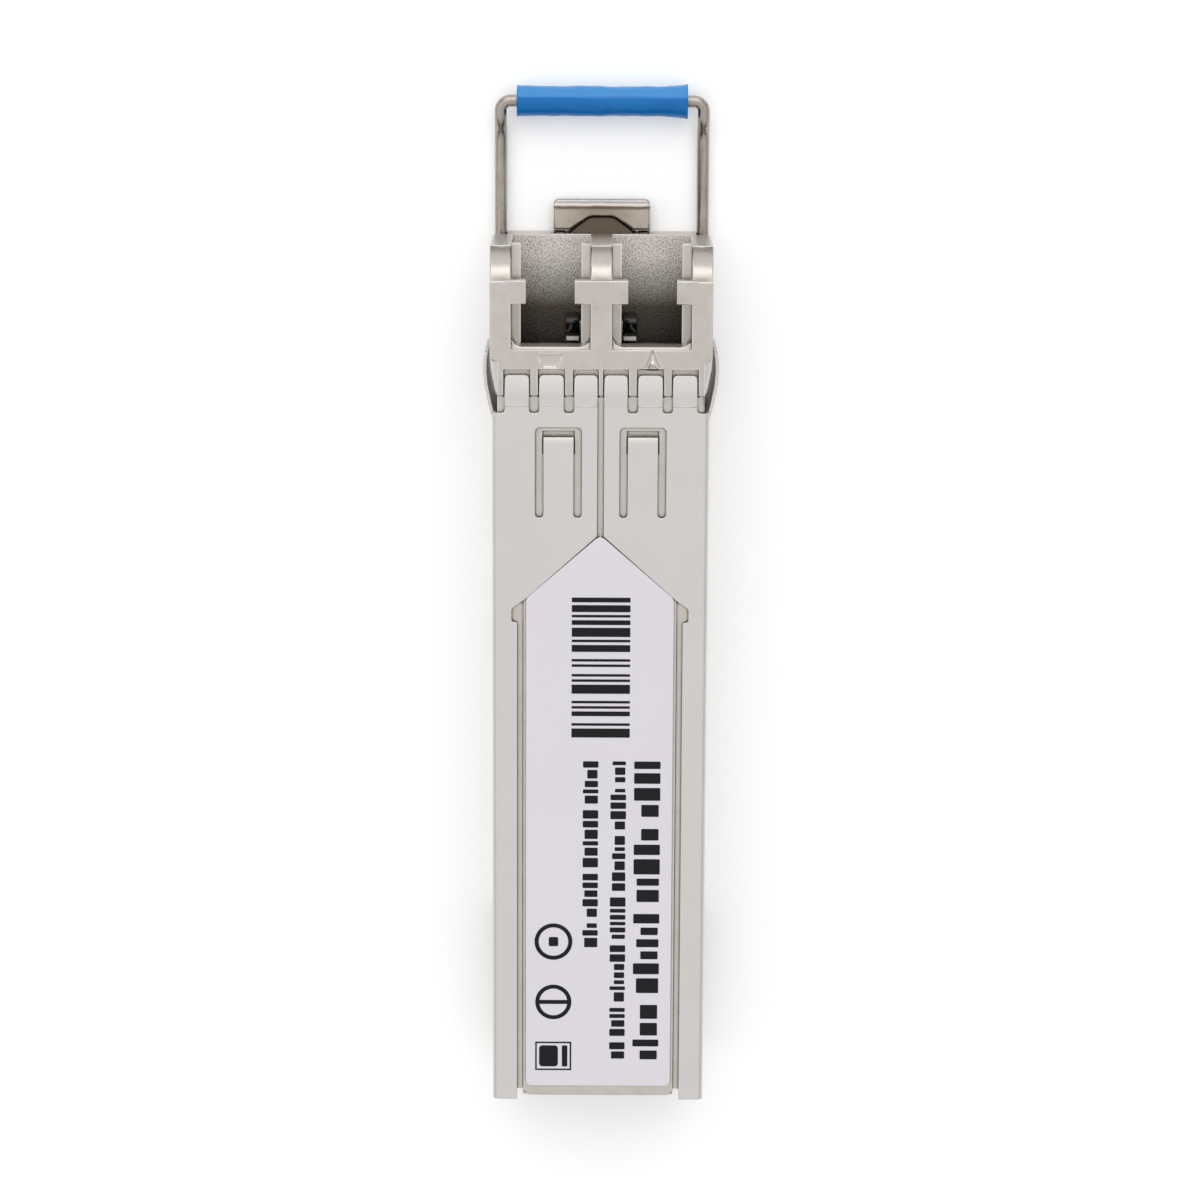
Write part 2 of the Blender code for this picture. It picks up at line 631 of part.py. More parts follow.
def optics():
    receptacle("tx_receptacle", 1)
    receptacle("rx_receptacle", -1)
    can("tx_laser_can", 1, GOLD)
    can("rx_detector_can", -1, GOLD)
    flex("tx_flex", 1)
    flex("rx_flex", -1)
    front = BARREL_FRONT_D + 0.6
    ring = [(0.63, 11.2), (0.77, 11.2), (0.77, front), (0.63, front)]
    sleeve = turned("tx_split_sleeve", ring, "Y", CERAMIC)
    sleeve.location = at(OPTIC_X, 0, OPTIC_Z)
    slit_x = (OPTIC_X - 0.08, OPTIC_X + 0.08)
    slit = block("sleeve_slit", slit_x, (front - 1, 12), (OPTIC_Z + 0.3, OPTIC_Z + 1))
    cut(sleeve, slit)
    rod("tx_fibre_stub", at(OPTIC_X, 10.4, OPTIC_Z), 0.59, 2.0, "Y", PARTS, CERAMIC, 24)

    clamp = block("osa_clamp", (-5.85, 5.85), (12.68, 13.32), (1.3, 7.1), PARTS, SHEET_NICKEL)
    gasket = block("emi_gasket", (-5.85, 5.85), (11.36, 11.9), (2.1, 7.1), PARTS, GASKET_GREY)
    for side, name in ((1, "left"), (-1, "right")):
        middle = side * OPTIC_X
        reach = GROOVE_RADIUS + FIT
        cut(clamp, rod("clamp_hole_" + name, at(middle, 13, OPTIC_Z), reach, 2, "Y"))
        cut(clamp, block("clamp_slot_" + name, (middle - reach, middle + reach), (12, 14), (0, OPTIC_Z)))
        cut(gasket, rod("gasket_hole_" + name, at(middle, 11.6, OPTIC_Z), BARREL_RADIUS + FIT, 2, "Y"))


def circuit_board():
    outline = rounded(
        (
            (-BOARD_HALF, BOARD_D[0], 0.3),
            (BOARD_HALF, BOARD_D[0], 0.3),
            (BOARD_HALF, EDGE_START_D, 0.2),
            (EDGE_HALF, EDGE_START_D, 0.2),
            (EDGE_HALF, BOARD_D[1], 0.3),
            (-EDGE_HALF, BOARD_D[1], 0.3),
            (-EDGE_HALF, EDGE_START_D, 0.2),
            (-BOARD_HALF, EDGE_START_D, 0.2),
        ),
        3,
    )
    prism("circuit_board", outline, BOARD_Z, group=PARTS, finish=BOARD_GREEN)


def chip(name, x, d, size, height, finish=CHIP_BLACK, under=False):
    """A package on the board's top, or under it."""
    low = BOARD_Z[0] - FIT - height if under else BOARD_Z[1] + FIT
    across = (x - size[0] / 2, x + size[0] / 2)
    along = (d - size[1] / 2, d + size[1] / 2)
    body = block(name, across, along, (low, low + height), PARTS, finish)
    edge = body.modifiers.new("edges", "BEVEL")
    edge.width = 0.08 * MM
    edge.segments = 1


def components():
    chip("laser_driver", 2.5, 27.2, (4.0, 4.0), 0.9)
    chip("limiting_amplifier", -2.6, 27.0, (3.0, 3.0), 0.8)
    chip("controller", 0.4, 35.0, (5.0, 5.0), 0.9)
    chip("memory_chip", -1.5, 33.0, (3.0, 4.4), 1.0, under=True)
    chip("power_inductor_tx", 3.4, 40.6, (2.0, 2.5), 1.4, FERRITE_GREY)
    chip("power_inductor_rx", -3.4, 40.6, (2.0, 2.5), 1.4, FERRITE_GREY)
    chip("ferrite_bead_tx", 4.2, 31.2, (0.8, 1.6), 0.8, FERRITE_GREY)
    chip("ferrite_bead_rx", -4.2, 31.2, (0.8, 1.6), 0.8, FERRITE_GREY)
    chip("tantalum_capacitor_tx", 0.9, 40.4, (1.6, 3.2), 1.5, TANTALUM_ORANGE)
    chip("tantalum_capacitor_rx", -1.1, 40.4, (1.6, 3.2), 1.5, TANTALUM_ORANGE)
    chip("bypass_capacitor_tx", 1.2, 23.6, (1.6, 0.8), 0.8, CERAMIC)
    chip("bypass_capacitor_rx", -1.2, 23.6, (1.6, 0.8), 0.8, CERAMIC)
    for side, line in ((1, "tx"), (-1, "rx")):
        for index, x in enumerate((2.1, 3.3)):
            chip(f"coupling_capacitor_{line}_{index}", side * x, 43.8, (0.5, 1.0), 0.5, CERAMIC)
            chip(f"bias_resistor_{line}_{index}", side * x, 31.4, (0.5, 1.0), 0.35)
    pad_low = BOARD_Z[1] + FIT + 0.9 + FIT
    block("thermal_pad", (0.7, 4.3), (25.4, 29.0), (pad_low, 5.2 - FIT), PARTS, PAD_PINK)


def to_rocker(piece):
    """Moves a mesh from the body's frame into the rocker's, whose origin is on its pivot."""
    piece.data.transform(Matrix.Translation(piece.location - at(0, ROCKER_PIVOT_D, ROCKER_PIVOT_Z)))
    piece.location = at(0, ROCKER_PIVOT_D, ROCKER_PIVOT_Z)
    piece.rotation_euler = (OPEN_TILT, 0, 0)
    return piece


def latch():
    block_corners = (
        (-ROCKER_HALF, BLOCK_FRONT_D, 0.3),
        (ROCKER_HALF, BLOCK_FRONT_D, 0.3),
        (ROCKER_HALF, -0.12, 0),
        (-ROCKER_HALF, -0.12, 0),
    )
    rocker = prism("latch_rocker", rounded(block_corners), (0.72, 1.38), group=PARTS, finish=CAST_NICKEL)
    to_rocker(rocker)
    half = ROCKER_HALF
    arm = block("arm", (-half, half), (-0.6, ROCKER_PIVOT_D), (0.72, 1.22))
    hub = rod("hub", at(0, ROCKER_PIVOT_D, ROCKER_PIVOT_Z), 0.62, 2 * half)
    heel = block("heel", (-half, half), (ROCKER_PIVOT_D, 7.2), (0.14, 0.6))
    tail = block("tail", (-BOSS_HALF, BOSS_HALF), (7.0, 11.0), (0.14, 0.6))
    boss_side = [(BOSS_D, 0.3), (BOSS_D, -BOSS_DROP), (BOSS_D + 0.25, -BOSS_DROP), (10.9, 0.3)]
    boss = prism("boss", boss_side, (-BOSS_HALF, BOSS_HALF), "side")
    join(rocker, *(to_rocker(piece) for piece in (arm, hub, heel, tail, boss)))
    arch_corners = (
        (-2.45, 0.3, 0),
        (-1.75, -0.3, 1.2),
        (-0.75, -0.98, 0.9),
        (0.75, -0.98, 0.9),
        (1.75, -0.3, 1.2),
        (2.45, 0.3, 0),
    )
    arch = prism("arch", rounded(arch_corners, 6), (0.95, 2.0))
    pin_bore = rod("pin_bore", at(0, ROCKER_PIVOT_D, ROCKER_PIVOT_Z), PIN_RADIUS + FIT, 8)
    cut(rocker, to_rocker(arch), to_rocker(pin_bore))
    rod("rocker_pin", at(0, ROCKER_PIVOT_D, ROCKER_PIVOT_Z), PIN_RADIUS, 9, "X", PARTS, WIRE_STEEL, 24)

    turns = 4
    steps = 12
    low = 1.32
    high = 2.86
    coil = []
    for step in range(turns * steps + 1):
        angle = 2 * math.pi * step / steps
        rise = low + (high - low) * step / (turns * steps)
        coil.append((0.5 * math.cos(angle), 10.3 + 0.5 * math.sin(angle), rise))
    tube("latch_spring", coil, 0.09, finish=WIRE_STEEL).location = at(0, 0, 0)


def bail():
    pivot = at(0, BAIL_PIVOT_D, BAIL_PIVOT_Z)
    hinge = bpy.data.objects.new("bail_pivot", None)
    PARTS.objects.link(hinge)
    hinge.location = pivot
    side = [
        (STUB_END_X, BAIL_PIVOT_D, BAIL_PIVOT_Z, 0),
        (LEG_X, BAIL_PIVOT_D, BAIL_PIVOT_Z, 0.38),
        (LEG_X, BAIL_PIVOT_D, LEG_Z, 0.45),
        (LEG_X, -6.4, LEG_Z, 1.2),
        (LEG_X, -7.1, CROSSBAR_Z, 0.5),
        (LEG_X, CROSSBAR_D, CROSSBAR_Z, 0.5),
    ]
    corners = side + [(-x, d, z, radius) for x, d, z, radius in reversed(side)]
    path = [point - Vector((0, BAIL_PIVOT_D, BAIL_PIVOT_Z)) for point in rounded(corners, 5)]
    wire = tube("bail_wire", path, WIRE_RADIUS, finish=WIRE_STEEL)
    wire.parent = hinge
    end = SLEEVE_HALF
    profile = [
        (WIRE_RADIUS + FIT, end),
        (SLEEVE_FLARE, end),
        (SLEEVE_FLARE - 0.04, end - 0.25),
        (SLEEVE_RADIUS, end - 1.4),
        (SLEEVE_RADIUS, -end + 1.4),
        (SLEEVE_FLARE - 0.04, -end + 0.25),
        (SLEEVE_FLARE, -end),
        (WIRE_RADIUS + FIT, -end),
    ]
    sleeve = turned("bail_sleeve", profile, "X", BLUE_PLASTIC)
    sleeve.parent = hinge
    sleeve.location = at(0, CROSSBAR_D, CROSSBAR_Z) - pivot


top_housing()
bottom_cover()
sheet_shell()
label()
optics()
circuit_board()
components()
latch()
bail()
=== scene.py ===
"""Looks of the small pluggable optical transceiver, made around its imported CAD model.

Frame: +Z up, the nose and its bail point to -Y, and the underside is z = 0. Lengths are named in
millimetres, and MM turns them into metres. Places along the body are given as d, the distance behind the
nose's front face.
"""

import json
import math
import random

import bmesh
import bpy
from mathutils import Matrix, Vector
from mathutils.bvhtree import BVHTree


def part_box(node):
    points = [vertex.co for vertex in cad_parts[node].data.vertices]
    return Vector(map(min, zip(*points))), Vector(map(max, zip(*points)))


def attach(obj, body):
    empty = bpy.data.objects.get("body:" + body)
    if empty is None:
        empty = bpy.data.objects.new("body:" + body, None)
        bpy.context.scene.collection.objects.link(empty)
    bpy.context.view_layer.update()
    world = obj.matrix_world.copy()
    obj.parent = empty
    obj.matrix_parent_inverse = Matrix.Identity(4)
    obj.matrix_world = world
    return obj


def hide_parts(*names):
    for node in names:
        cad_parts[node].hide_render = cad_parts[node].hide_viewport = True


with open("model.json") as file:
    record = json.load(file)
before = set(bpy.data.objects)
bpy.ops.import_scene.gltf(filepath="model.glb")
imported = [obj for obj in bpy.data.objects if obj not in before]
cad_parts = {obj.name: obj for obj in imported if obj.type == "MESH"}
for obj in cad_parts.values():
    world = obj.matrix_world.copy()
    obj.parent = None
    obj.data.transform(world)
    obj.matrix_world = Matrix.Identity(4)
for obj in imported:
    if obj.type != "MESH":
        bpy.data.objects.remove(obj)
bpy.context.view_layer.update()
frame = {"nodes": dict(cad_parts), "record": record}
nodes = frame["nodes"]

MM = 0.001
FRONT_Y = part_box("top_housing")[0].y

# Camera: the module's top fills the frame's height from 0.235 m away, tipped a little towards the ports.
LENS = 113.1
CAMERA_PLACE = Vector((0.0, -0.0536, 0.2380))
CAMERA_TARGET = Vector((0.0, -0.0053, 0.0085))
CAMERA_ROLL = math.radians(0.27)

# Places that the CAD model's own source gives, in millimetres. The pivots and the crossbar are (d, z).
WIRE_RADIUS = 0.375
BAIL_PIVOT = (0.72, 1.57)
LEG_X = 6.35
LEG_Z = 0.45
LEG_BENDS_D = (-6.2, -7.1)
STUB_END_X = 5.7
CROSSBAR = (-8.25, 1.2)
SLEEVE_HALF = 5.33
SLEEVE_RADIUS = 0.93
ROCKER_PIVOT = (4.5, 0.7)
OPEN_TILT = math.radians(5.6)
BOARD_Z = (2.25, 3.25)
LEAD_CIRCLE = 1.27

# Where the ports' grain, painted floor light and painted shade begin and end, in millimetres: half the
# outer width, depth and height.
PORT_HALF = (5.60, 5.75)
PORT_DEEP = (1.4, 4.6)
PORT_REAR = (9.3, 9.6)
PORT_FLOOR_Z = (2.2, 4.0)
PORT_ROOF_Z = (5.2, 7.5)

# Along the latch block's outer edge: a grey lip, a bright band that is a painted highlight, and a brown
# line.
# Each is ((rises from, is full at, falls from, is gone at), share, colour), in millimetres from that edge.
LATCH_BANDS = (
    ((-1.0, -0.9, 0.40, 0.50), 0.70, (0.40, 0.385, 0.37)),
    ((0.28, 0.36, 0.46, 0.52), 0.65, (0.90, 0.88, 0.85)),
    ((0.50, 0.56, 0.64, 0.76), 0.80, (0.10, 0.07, 0.045)),
)

# The label: its underside and top, and its corners as (x, d, radius), from the tip round to the -X side.
LABEL_Z = (8.42, 8.5)
LABEL_CORNERS = (
    (0.0, 17.95, 0.45),
    (4.6, 21.98, 0.5),
    (4.6, 53.78, 0.35),
    (-4.6, 53.78, 0.35),
    (-4.6, 21.98, 0.5),
)

# The print on it, in millimetres. PRINT_Z is measured from the label's top. CODE_BARS and MARK_FRAME are
# (x span, d span), a text line is (x span, d span, widest block), a ring is (x, d, radius) and a plain
# block is (x span, d span, corner radius).
PRINT_Z = (-0.02, 0.012)
CODE_BARS = ((-1.9, 1.75), (21.9, 31.0))
CODE_WIDTHS = (0.16, 0.16, 0.30, 0.44, 0.58)
CODE_GAPS = (0.18, 0.18, 0.32, 0.46)
TEXT_LINES = (
    ((-3.85, -2.2), (32.4, 52.0), 1.15),
    ((-1.70, -0.72), (32.4, 52.0), 0.62),
    ((0.05, 1.02), (32.4, 44.6), 0.62),
)
MARK_RINGS = ((2.85, 44.2, 1.2), (2.85, 48.2, 1.15))
MARK_LINE = 0.26
MARK_BLOCKS = (
    ((2.55, 3.15), (43.9, 44.5), 0.1),
    ((1.95, 3.75), (48.07, 48.33), 0.05),
    ((2.55, 3.75), (51.1, 52.5), 0.2),
    ((1.95, 2.30), (51.1, 52.5), 0.05),
)
MARK_FRAME = ((1.70, 4.00), (50.85, 52.75))

# The gold fingers on the board's plug end, in millimetres: the ground ones start nearer the nose.
FINGER_PITCH = 0.8
FINGER_HALF = 0.29
FINGERS = 10
GROUND_FINGERS = (0, 3, 6, 9)
GROUND_START = 47.6
SIGNAL_START = 48.1
FINGER_END = 50.9

# Sheet pieces deep in each port, in millimetres: (name, bends as (d, z, radius), x span, thickness, look).
HOOK_BENDS = ((5.05, 1.85, 0), (5.30, 2.75, 0.25), (6.20, 2.45, 0.2), (6.28, 1.75, 0))
TAB_BENDS = ((6.38, 1.75, 0), (6.42, 2.62, 0.1), (6.62, 2.68, 0))
RAIL_BENDS = ((5.30, 1.80, 0), (5.35, 3.05, 0.2), (6.60, 3.05, 0))
PORT_SPRINGS = (
    ("stop", HOOK_BENDS, (1.38, 2.22), 0.16, "ink_gloss"),
    ("tab", TAB_BENDS, (1.40, 2.20), 0.12, "ceramic"),
    ("rail", RAIL_BENDS, (1.28, 1.34), 0.10, "barrel_steel"),
)

# How the CAD pieces' meshes are finished: points closer than MERGE_WITHIN metres are one, faces flat to
# FLAT_WITHIN are merged, edges over BROKEN_OVER are broken, ones over SHARP_OVER are not shaded across,
# and a corner may stand off the solid by STAND_OFF of the broken edge's width.
MERGE_WITHIN = 2e-7
FLAT_WITHIN = math.radians(0.5)
BROKEN_OVER = math.radians(30)
SHARP_OVER = math.radians(50)
STAND_OFF = 0.4

# Widths of the broken edges, in millimetres, of the CAD pieces that keep their shape.
SOFT_EDGES = {
    "top_housing": 0.07,
    "bottom_cover": 0.06,
    "sheet_shell": 0.03,
    "rocker_pin": 0.06,
    "circuit_board": 0.03,
    "tx_receptacle": 0.04,
    "rx_receptacle": 0.04,
    "tx_split_sleeve": 0.03,
    "tx_fibre_stub": 0.06,
    "tx_laser_can": 0.04,
    "rx_detector_can": 0.04,
    "tx_flex": 0.02,
    "rx_flex": 0.02,
    "osa_clamp": 0.05,
    "emi_gasket": 0.08,
    "thermal_pad": 0.12,
}

# Chips and how many pads each has on a side, and how the two-ended components' names begin.
PACKAGES = (("laser_driver", 6), ("limiting_amplifier", 4), ("controller", 8), ("memory_chip", 4))
TWO_ENDED = ("power_", "ferrite_", "tantalum_", "bypass_", "coupling_", "bias_")

# Studio: a white tent, dimmer near the horizon and behind, with a bright wall in front. Each tent value is
# a smooth step over a direction's share along an axis, as (from, to, value at from, value at to). The
# values are glows, added up, except that FRONT_WIDTH is the share of the front wall left towards the sides.
# The softboxes are (name, place, size, watts).
SKY = (0.05, 0.75, 0.45, 0.98)
FLOOR_Z = -0.03 * MM
FLOOR_GLOW = 0.15
FRONT_WALL = (-0.60, -0.22, 1.0, 0.0)
FRONT_WIDTH = (0.30, 0.65, 1.0, 0.0)
REAR_WALL = (0.40, 0.85, 0.0, -0.32)
SOFTBOXES = (
    ("left_softbox", (0.42, -0.10, 0.30), (0.5, 0.2), 0.12),
    ("rear_softbox", (-0.10, 0.45, 0.40), (0.5, 0.2), 0.08),
)


def at(x, d, z):
    """A point in metres from millimetres, d back from the nose's front face."""
    return Vector((x * MM, FRONT_Y + d * MM, z * MM))


# ---------------------------------------------------------------- node helpers


class Shader:
    """A material's node tree, with short calls for its nodes."""

    def __init__(self, name):
        self.material = bpy.data.materials.new(name)
        self.material.use_nodes = True
        self.tree = self.material.node_tree
        self.surface = self.tree.nodes["Principled BSDF"]
        self.place = self.tree.nodes.new("ShaderNodeTexCoord").outputs["Object"]

    def node(self, kind, **settings):
        made = self.tree.nodes.new(kind)
        for key, value in settings.items():
            setattr(made, key, value)
        return made

    def feed(self, socket, value):
        if isinstance(value, bpy.types.NodeSocket):
            self.tree.links.new(value, socket)
        else:
            socket.default_value = value

    def set(self, **inputs):
        for key, value in inputs.items():
            self.feed(self.surface.inputs[key.replace("_", " ")], value)

    def scaled(self, stretch):
        """The place on the piece, stretched along X, Y and Z."""
        mapping = self.node("ShaderNodeMapping")
        mapping.inputs["Scale"].default_value = stretch
        self.feed(mapping.inputs["Vector"], self.place)
        return mapping.outputs["Vector"]

    def noise(self, size_mm, detail=3.0, rough=0.55, stretch=(1, 1, 1)):
        """Noise from 0 to 1 whose grains are about size_mm across."""
        texture = self.node("ShaderNodeTexNoise")
        self.feed(texture.inputs["Vector"], self.scaled(stretch))
        texture.inputs["Scale"].default_value = 1 / (size_mm * MM)
        texture.inputs["Detail"].default_value = detail
        texture.inputs["Roughness"].default_value = rough
        return texture.outputs["Fac"]

    def span(self, value, low, high, to_low=0.0, to_high=1.0):
        """value moved from one range to another, and held inside it."""
        part = self.node("ShaderNodeMapRange")
        self.feed(part.inputs["Value"], value)
        for key, number in zip(("From Min", "From Max", "To Min", "To Max"), (low, high, to_low, to_high)):
            part.inputs[key].default_value = number
        return part.outputs["Result"]

    def past(self, value, limits_mm, start=0.0):
        """1 before the first limit and 0 past the second, both in millimetres from start."""
        low, high = limits_mm
        return self.span(value, start + low * MM, start + high * MM, 1.0, 0.0)

    def maths(self, operation, *values):
        part = self.node("ShaderNodeMath", operation=operation)
        for socket, value in zip(part.inputs, values):
            self.feed(socket, value)
        return part.outputs["Value"]

    def product(self, first, *others):
        """Shares multiplied together."""
        for value in others:
            first = self.maths("MULTIPLY", first, value)
        return first

    def mix(self, share, first, second):
        """A colour between two, each a socket or an RGB triple."""
        part = self.node("ShaderNodeMix", data_type="RGBA")
        self.feed(part.inputs[0], share)
        for socket, colour in ((part.inputs[6], first), (part.inputs[7], second)):
            self.feed(socket, colour if isinstance(colour, bpy.types.NodeSocket) else (*colour, 1.0))
        return part.outputs[2]

    def bump(self, height, depth_mm, strength=1.0, under=None):
        """A normal from a height, depth_mm deep, laid over another normal."""
        part = self.node("ShaderNodeBump")
        part.inputs["Strength"].default_value = strength
        part.inputs["Distance"].default_value = depth_mm * MM
        self.feed(part.inputs["Height"], height)
        if under:
            self.feed(part.inputs["Normal"], under)
        return part.outputs["Normal"]

    def crevice(self, reach_mm, inside=False):
        """1 on open faces, less in corners closer than reach_mm, or less at outer edges with inside set."""
        part = self.node("ShaderNodeAmbientOcclusion", samples=8, inside=inside, only_local=inside)
        part.inputs["Distance"].default_value = reach_mm * MM
        return part.outputs["AO"]

    def axis(self, name):
        """One coordinate of the place on the piece, in metres."""
        part = self.node("ShaderNodeSeparateXYZ")
        self.feed(part.inputs["Vector"], self.place)
        return part.outputs[name]


# ---------------------------------------------------------------- materials


def cast_nickel():
    """Nickel-plated die casting: pebbled, its edges bright partly from wear and partly as a painted
    highlight, with brown painted shade in its corners and deep in the ports, and painted light on the
    ports' floors.
    """
    look = Shader("cast_nickel_look")
    fine = look.noise(0.07, 2.0)
    pebbles = look.noise(0.10, 1.0, 0.5)
    blotch = look.noise(0.8, 3.0)
    cloud = look.noise(3.5, 2.0)
    # The ports' inside: between the outer walls, behind the front face and before the rear wall.
    between = look.past(look.maths("ABSOLUTE", look.axis("X")), PORT_HALF)
    behind = look.span(look.axis("Y"), FRONT_Y, FRONT_Y + 0.2 * MM)
    before = look.past(look.axis("Y"), PORT_REAR, FRONT_Y)
    low = look.product(between, behind, look.past(look.axis("Z"), PORT_FLOOR_Z))
    inside = look.product(between, before, look.past(look.axis("Z"), PORT_ROOF_Z))
    deep = look.span(look.axis("Y"), FRONT_Y + PORT_DEEP[0] * MM, FRONT_Y + PORT_DEEP[1] * MM)

    tone = look.mix(cloud, (0.53, 0.495, 0.455), (0.61, 0.575, 0.53))
    tone = look.mix(look.span(blotch, 0.45, 0.75, 0.0, 0.25), tone, (0.40, 0.35, 0.30))
    # Painted light: the ports' floors are painted paler, as if lit from the front.
    tone = look.mix(look.product(low, 0.55), tone, (0.88, 0.83, 0.78))
    grain = look.product(look.span(pebbles, 0.50, 0.58), low, 0.50)
    tone = look.mix(grain, tone, (0.16, 0.13, 0.10))
    pits = look.span(look.noise(0.13, 2.0, 0.5), 0.64, 0.72, 0.0, 0.28)
    tone = look.mix(pits, tone, (0.20, 0.16, 0.12))
    # Painted shade deep inside the ports, growing darker towards the rear wall.
    tone = look.mix(look.product(inside, deep, 0.92), tone, (0.045, 0.031, 0.022))
    # Painted shade: brown in wide hollows and near black in tight corners and slots.
    wide = look.span(look.crevice(0.60), 0.30, 0.70, 1.0, 0.0)
    tone = look.mix(look.maths("MULTIPLY", wide, 0.18), tone, (0.20, 0.13, 0.08))
    corners = look.span(look.crevice(0.20), 0.45, 0.82, 1.0, 0.0)
    tone = look.mix(look.maths("MULTIPLY", corners, 0.90), tone, (0.055, 0.036, 0.024))
    # Partly wear, partly a painted highlight: paler along the outer edges.
    edges = look.span(look.crevice(0.10, inside=True), 0.55, 0.95, 1.0, 0.0)
    tone = look.mix(look.maths("MULTIPLY", edges, 0.85), tone, (0.95, 0.93, 0.90))
    height = look.maths("MULTIPLY", pebbles, look.span(low, 0.0, 1.0, 0.22, 1.0))
    normal = look.bump(blotch, 0.03, 0.25)
    normal = look.bump(height, 0.05, 0.5, normal)
    normal = look.bump(fine, 0.008, 0.35, normal)
    rough = look.span(fine, 0.3, 0.7, 0.27, 0.42)
    look.set(Base_Color=tone, Metallic=1.0, Roughness=rough, Normal=normal)
    return look.material


def latch_nickel():
    """The latch's nickel: smoother than the casting, handled, darker brown towards the middle, with brown
    painted shade in its hollows and arch, and its edges bright partly from wear and partly as a painted
    highlight.
    """
    look = Shader("latch_nickel_look")
    fine = look.noise(0.08, 2.0)
    stain = look.noise(0.9, 4.0, 0.6)
    tone = look.mix(stain, (0.58, 0.52, 0.46), (0.34, 0.28, 0.23))
    middle = look.span(look.maths("ABSOLUTE", look.axis("X")), 0.6 * MM, 2.6 * MM, 0.55, 0.0)
    tone = look.mix(middle, tone, (0.20, 0.15, 0.11))
    # Painted shade in the latch's hollows.
    wide = look.span(look.crevice(0.9), 0.45, 0.90, 1.0, 0.0)
    tone = look.mix(look.maths("MULTIPLY", wide, 0.92), tone, (0.07, 0.045, 0.03))
    # Painted shade in the arch: low under the tilted latch and behind its front lip.
    along = look.maths("SUBTRACT", look.axis("Y"), FRONT_Y + ROCKER_PIVOT[0] * MM)
    fall = look.maths("MULTIPLY", along, math.tan(OPEN_TILT))
    level = look.maths("SUBTRACT", look.maths("SUBTRACT", look.axis("Z"), fall), ROCKER_PIVOT[1] * MM)
    below = look.span(level, 0.28 * MM, 0.45 * MM, 1.0, 0.0)
    in_arch = look.product(below, look.span(look.axis("Y"), FRONT_Y - 1.15 * MM, FRONT_Y - 0.9 * MM), 0.9)
    tone = look.mix(in_arch, tone, (0.11, 0.082, 0.060))
    outer_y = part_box("latch_rocker")[0].y
    uneven = look.maths("ADD", look.axis("Y"), look.maths("MULTIPLY", stain, 0.10 * MM))
    # Bands along the outer edge; the bright one is a painted highlight.
    for place, share, colour in LATCH_BANDS:
        rise, full, fall, gone = (outer_y + distance * MM for distance in place)
        band = look.product(look.span(uneven, rise, full), look.span(uneven, fall, gone, 1.0, 0.0), share)
        tone = look.mix(band, tone, colour)
    # Partly wear, partly a painted highlight: paler along the outer edges.
    edges = look.span(look.crevice(0.16, inside=True), 0.55, 0.95, 1.0, 0.0)
    tone = look.mix(look.maths("MULTIPLY", edges, 0.8), tone, (0.92, 0.90, 0.87))
    normal = look.bump(stain, 0.04, 0.3, look.bump(fine, 0.006, 0.35))
    look.set(Base_Color=tone, Metallic=1.0, Roughness=look.span(fine, 0.3, 0.7, 0.22, 0.36), Normal=normal)
    return look.material


def sheet_nickel():
    """Satin nickel-silver sheet, rolled along the body, with dark painted shade in its corners and along
    its cut edges, and a painted highlight along its outer edges.
    """
    look = Shader("sheet_nickel_look")
    rolled = look.noise(0.10, 3.0, 0.6, (1.0, 0.06, 1.0))
    fine = look.noise(0.12, 2.0)
    specks = look.noise(0.5, 4.0, 0.7)
    cloud = look.noise(6.0, 2.0)
    tone = look.mix(cloud, (0.625, 0.60, 0.58), (0.67, 0.65, 0.63))
    tone = look.mix(look.span(rolled, 0.4, 0.75, 0.0, 0.10), tone, (0.5, 0.48, 0.45))
    tone = look.mix(look.span(specks, 0.70, 0.78, 0.0, 0.35), tone, (0.34, 0.30, 0.25))
    # Painted shade in corners and where the cut edges meet the housing.
    corners = look.span(look.crevice(0.20), 0.45, 0.85, 1.0, 0.0)
    tone = look.mix(look.maths("MULTIPLY", corners, 0.85), tone, (0.09, 0.062, 0.045))
    # Painted highlight: paler along the outer edges.
    edges = look.span(look.crevice(0.06, inside=True), 0.5, 0.9, 1.0, 0.0)
    tone = look.mix(look.maths("MULTIPLY", edges, 0.4), tone, (0.88, 0.87, 0.84))
    normal = look.bump(rolled, 0.002, 0.25, look.bump(fine, 0.003, 0.3))
    rough = look.span(fine, 0.3, 0.7, 0.34, 0.44)
    look.set(Base_Color=tone, Metallic=1.0, Roughness=rough, Normal=normal)
    return look.material


def wire_steel():
    """Drawn stainless wire: streaks along it, brown in patches, and a painted dark reflection in streaks on
    the inner sides of the legs by the nose.
    """
    look = Shader("wire_steel_look")
    drawn = look.noise(0.10, 3.0, 0.6, (1.0, 0.05, 1.0))
    tint = look.noise(1.2, 3.0)
    tone = look.mix(drawn, (0.24, 0.21, 0.18), (0.54, 0.50, 0.455))
    tone = look.mix(look.span(tint, 0.45, 0.75, 0.0, 0.4), tone, (0.27, 0.21, 0.15))
    # Painted reflection: dark streaks on the legs' inner sides, strongest near the nose.
    aside = look.maths("ABSOLUTE", look.axis("X"))
    inner = look.span(aside, (LEG_X - 0.16) * MM, (LEG_X + 0.04) * MM, 1.0, 0.0)
    near = look.span(look.axis("Y"), FRONT_Y + CROSSBAR[0] * MM, FRONT_Y - 1.5 * MM, 0.15, 1.0)
    streaks = look.span(look.noise(0.25, 2.0, 0.5, (1.0, 0.04, 1.0)), 0.42, 0.56)
    tone = look.mix(look.product(inner, near, streaks, 0.85), tone, (0.07, 0.055, 0.04))
    rough = look.span(drawn, 0.3, 0.7, 0.18, 0.34)
    look.set(Base_Color=tone, Metallic=1.0, Roughness=rough, Normal=look.bump(drawn, 0.012, 0.4))
    return look.material


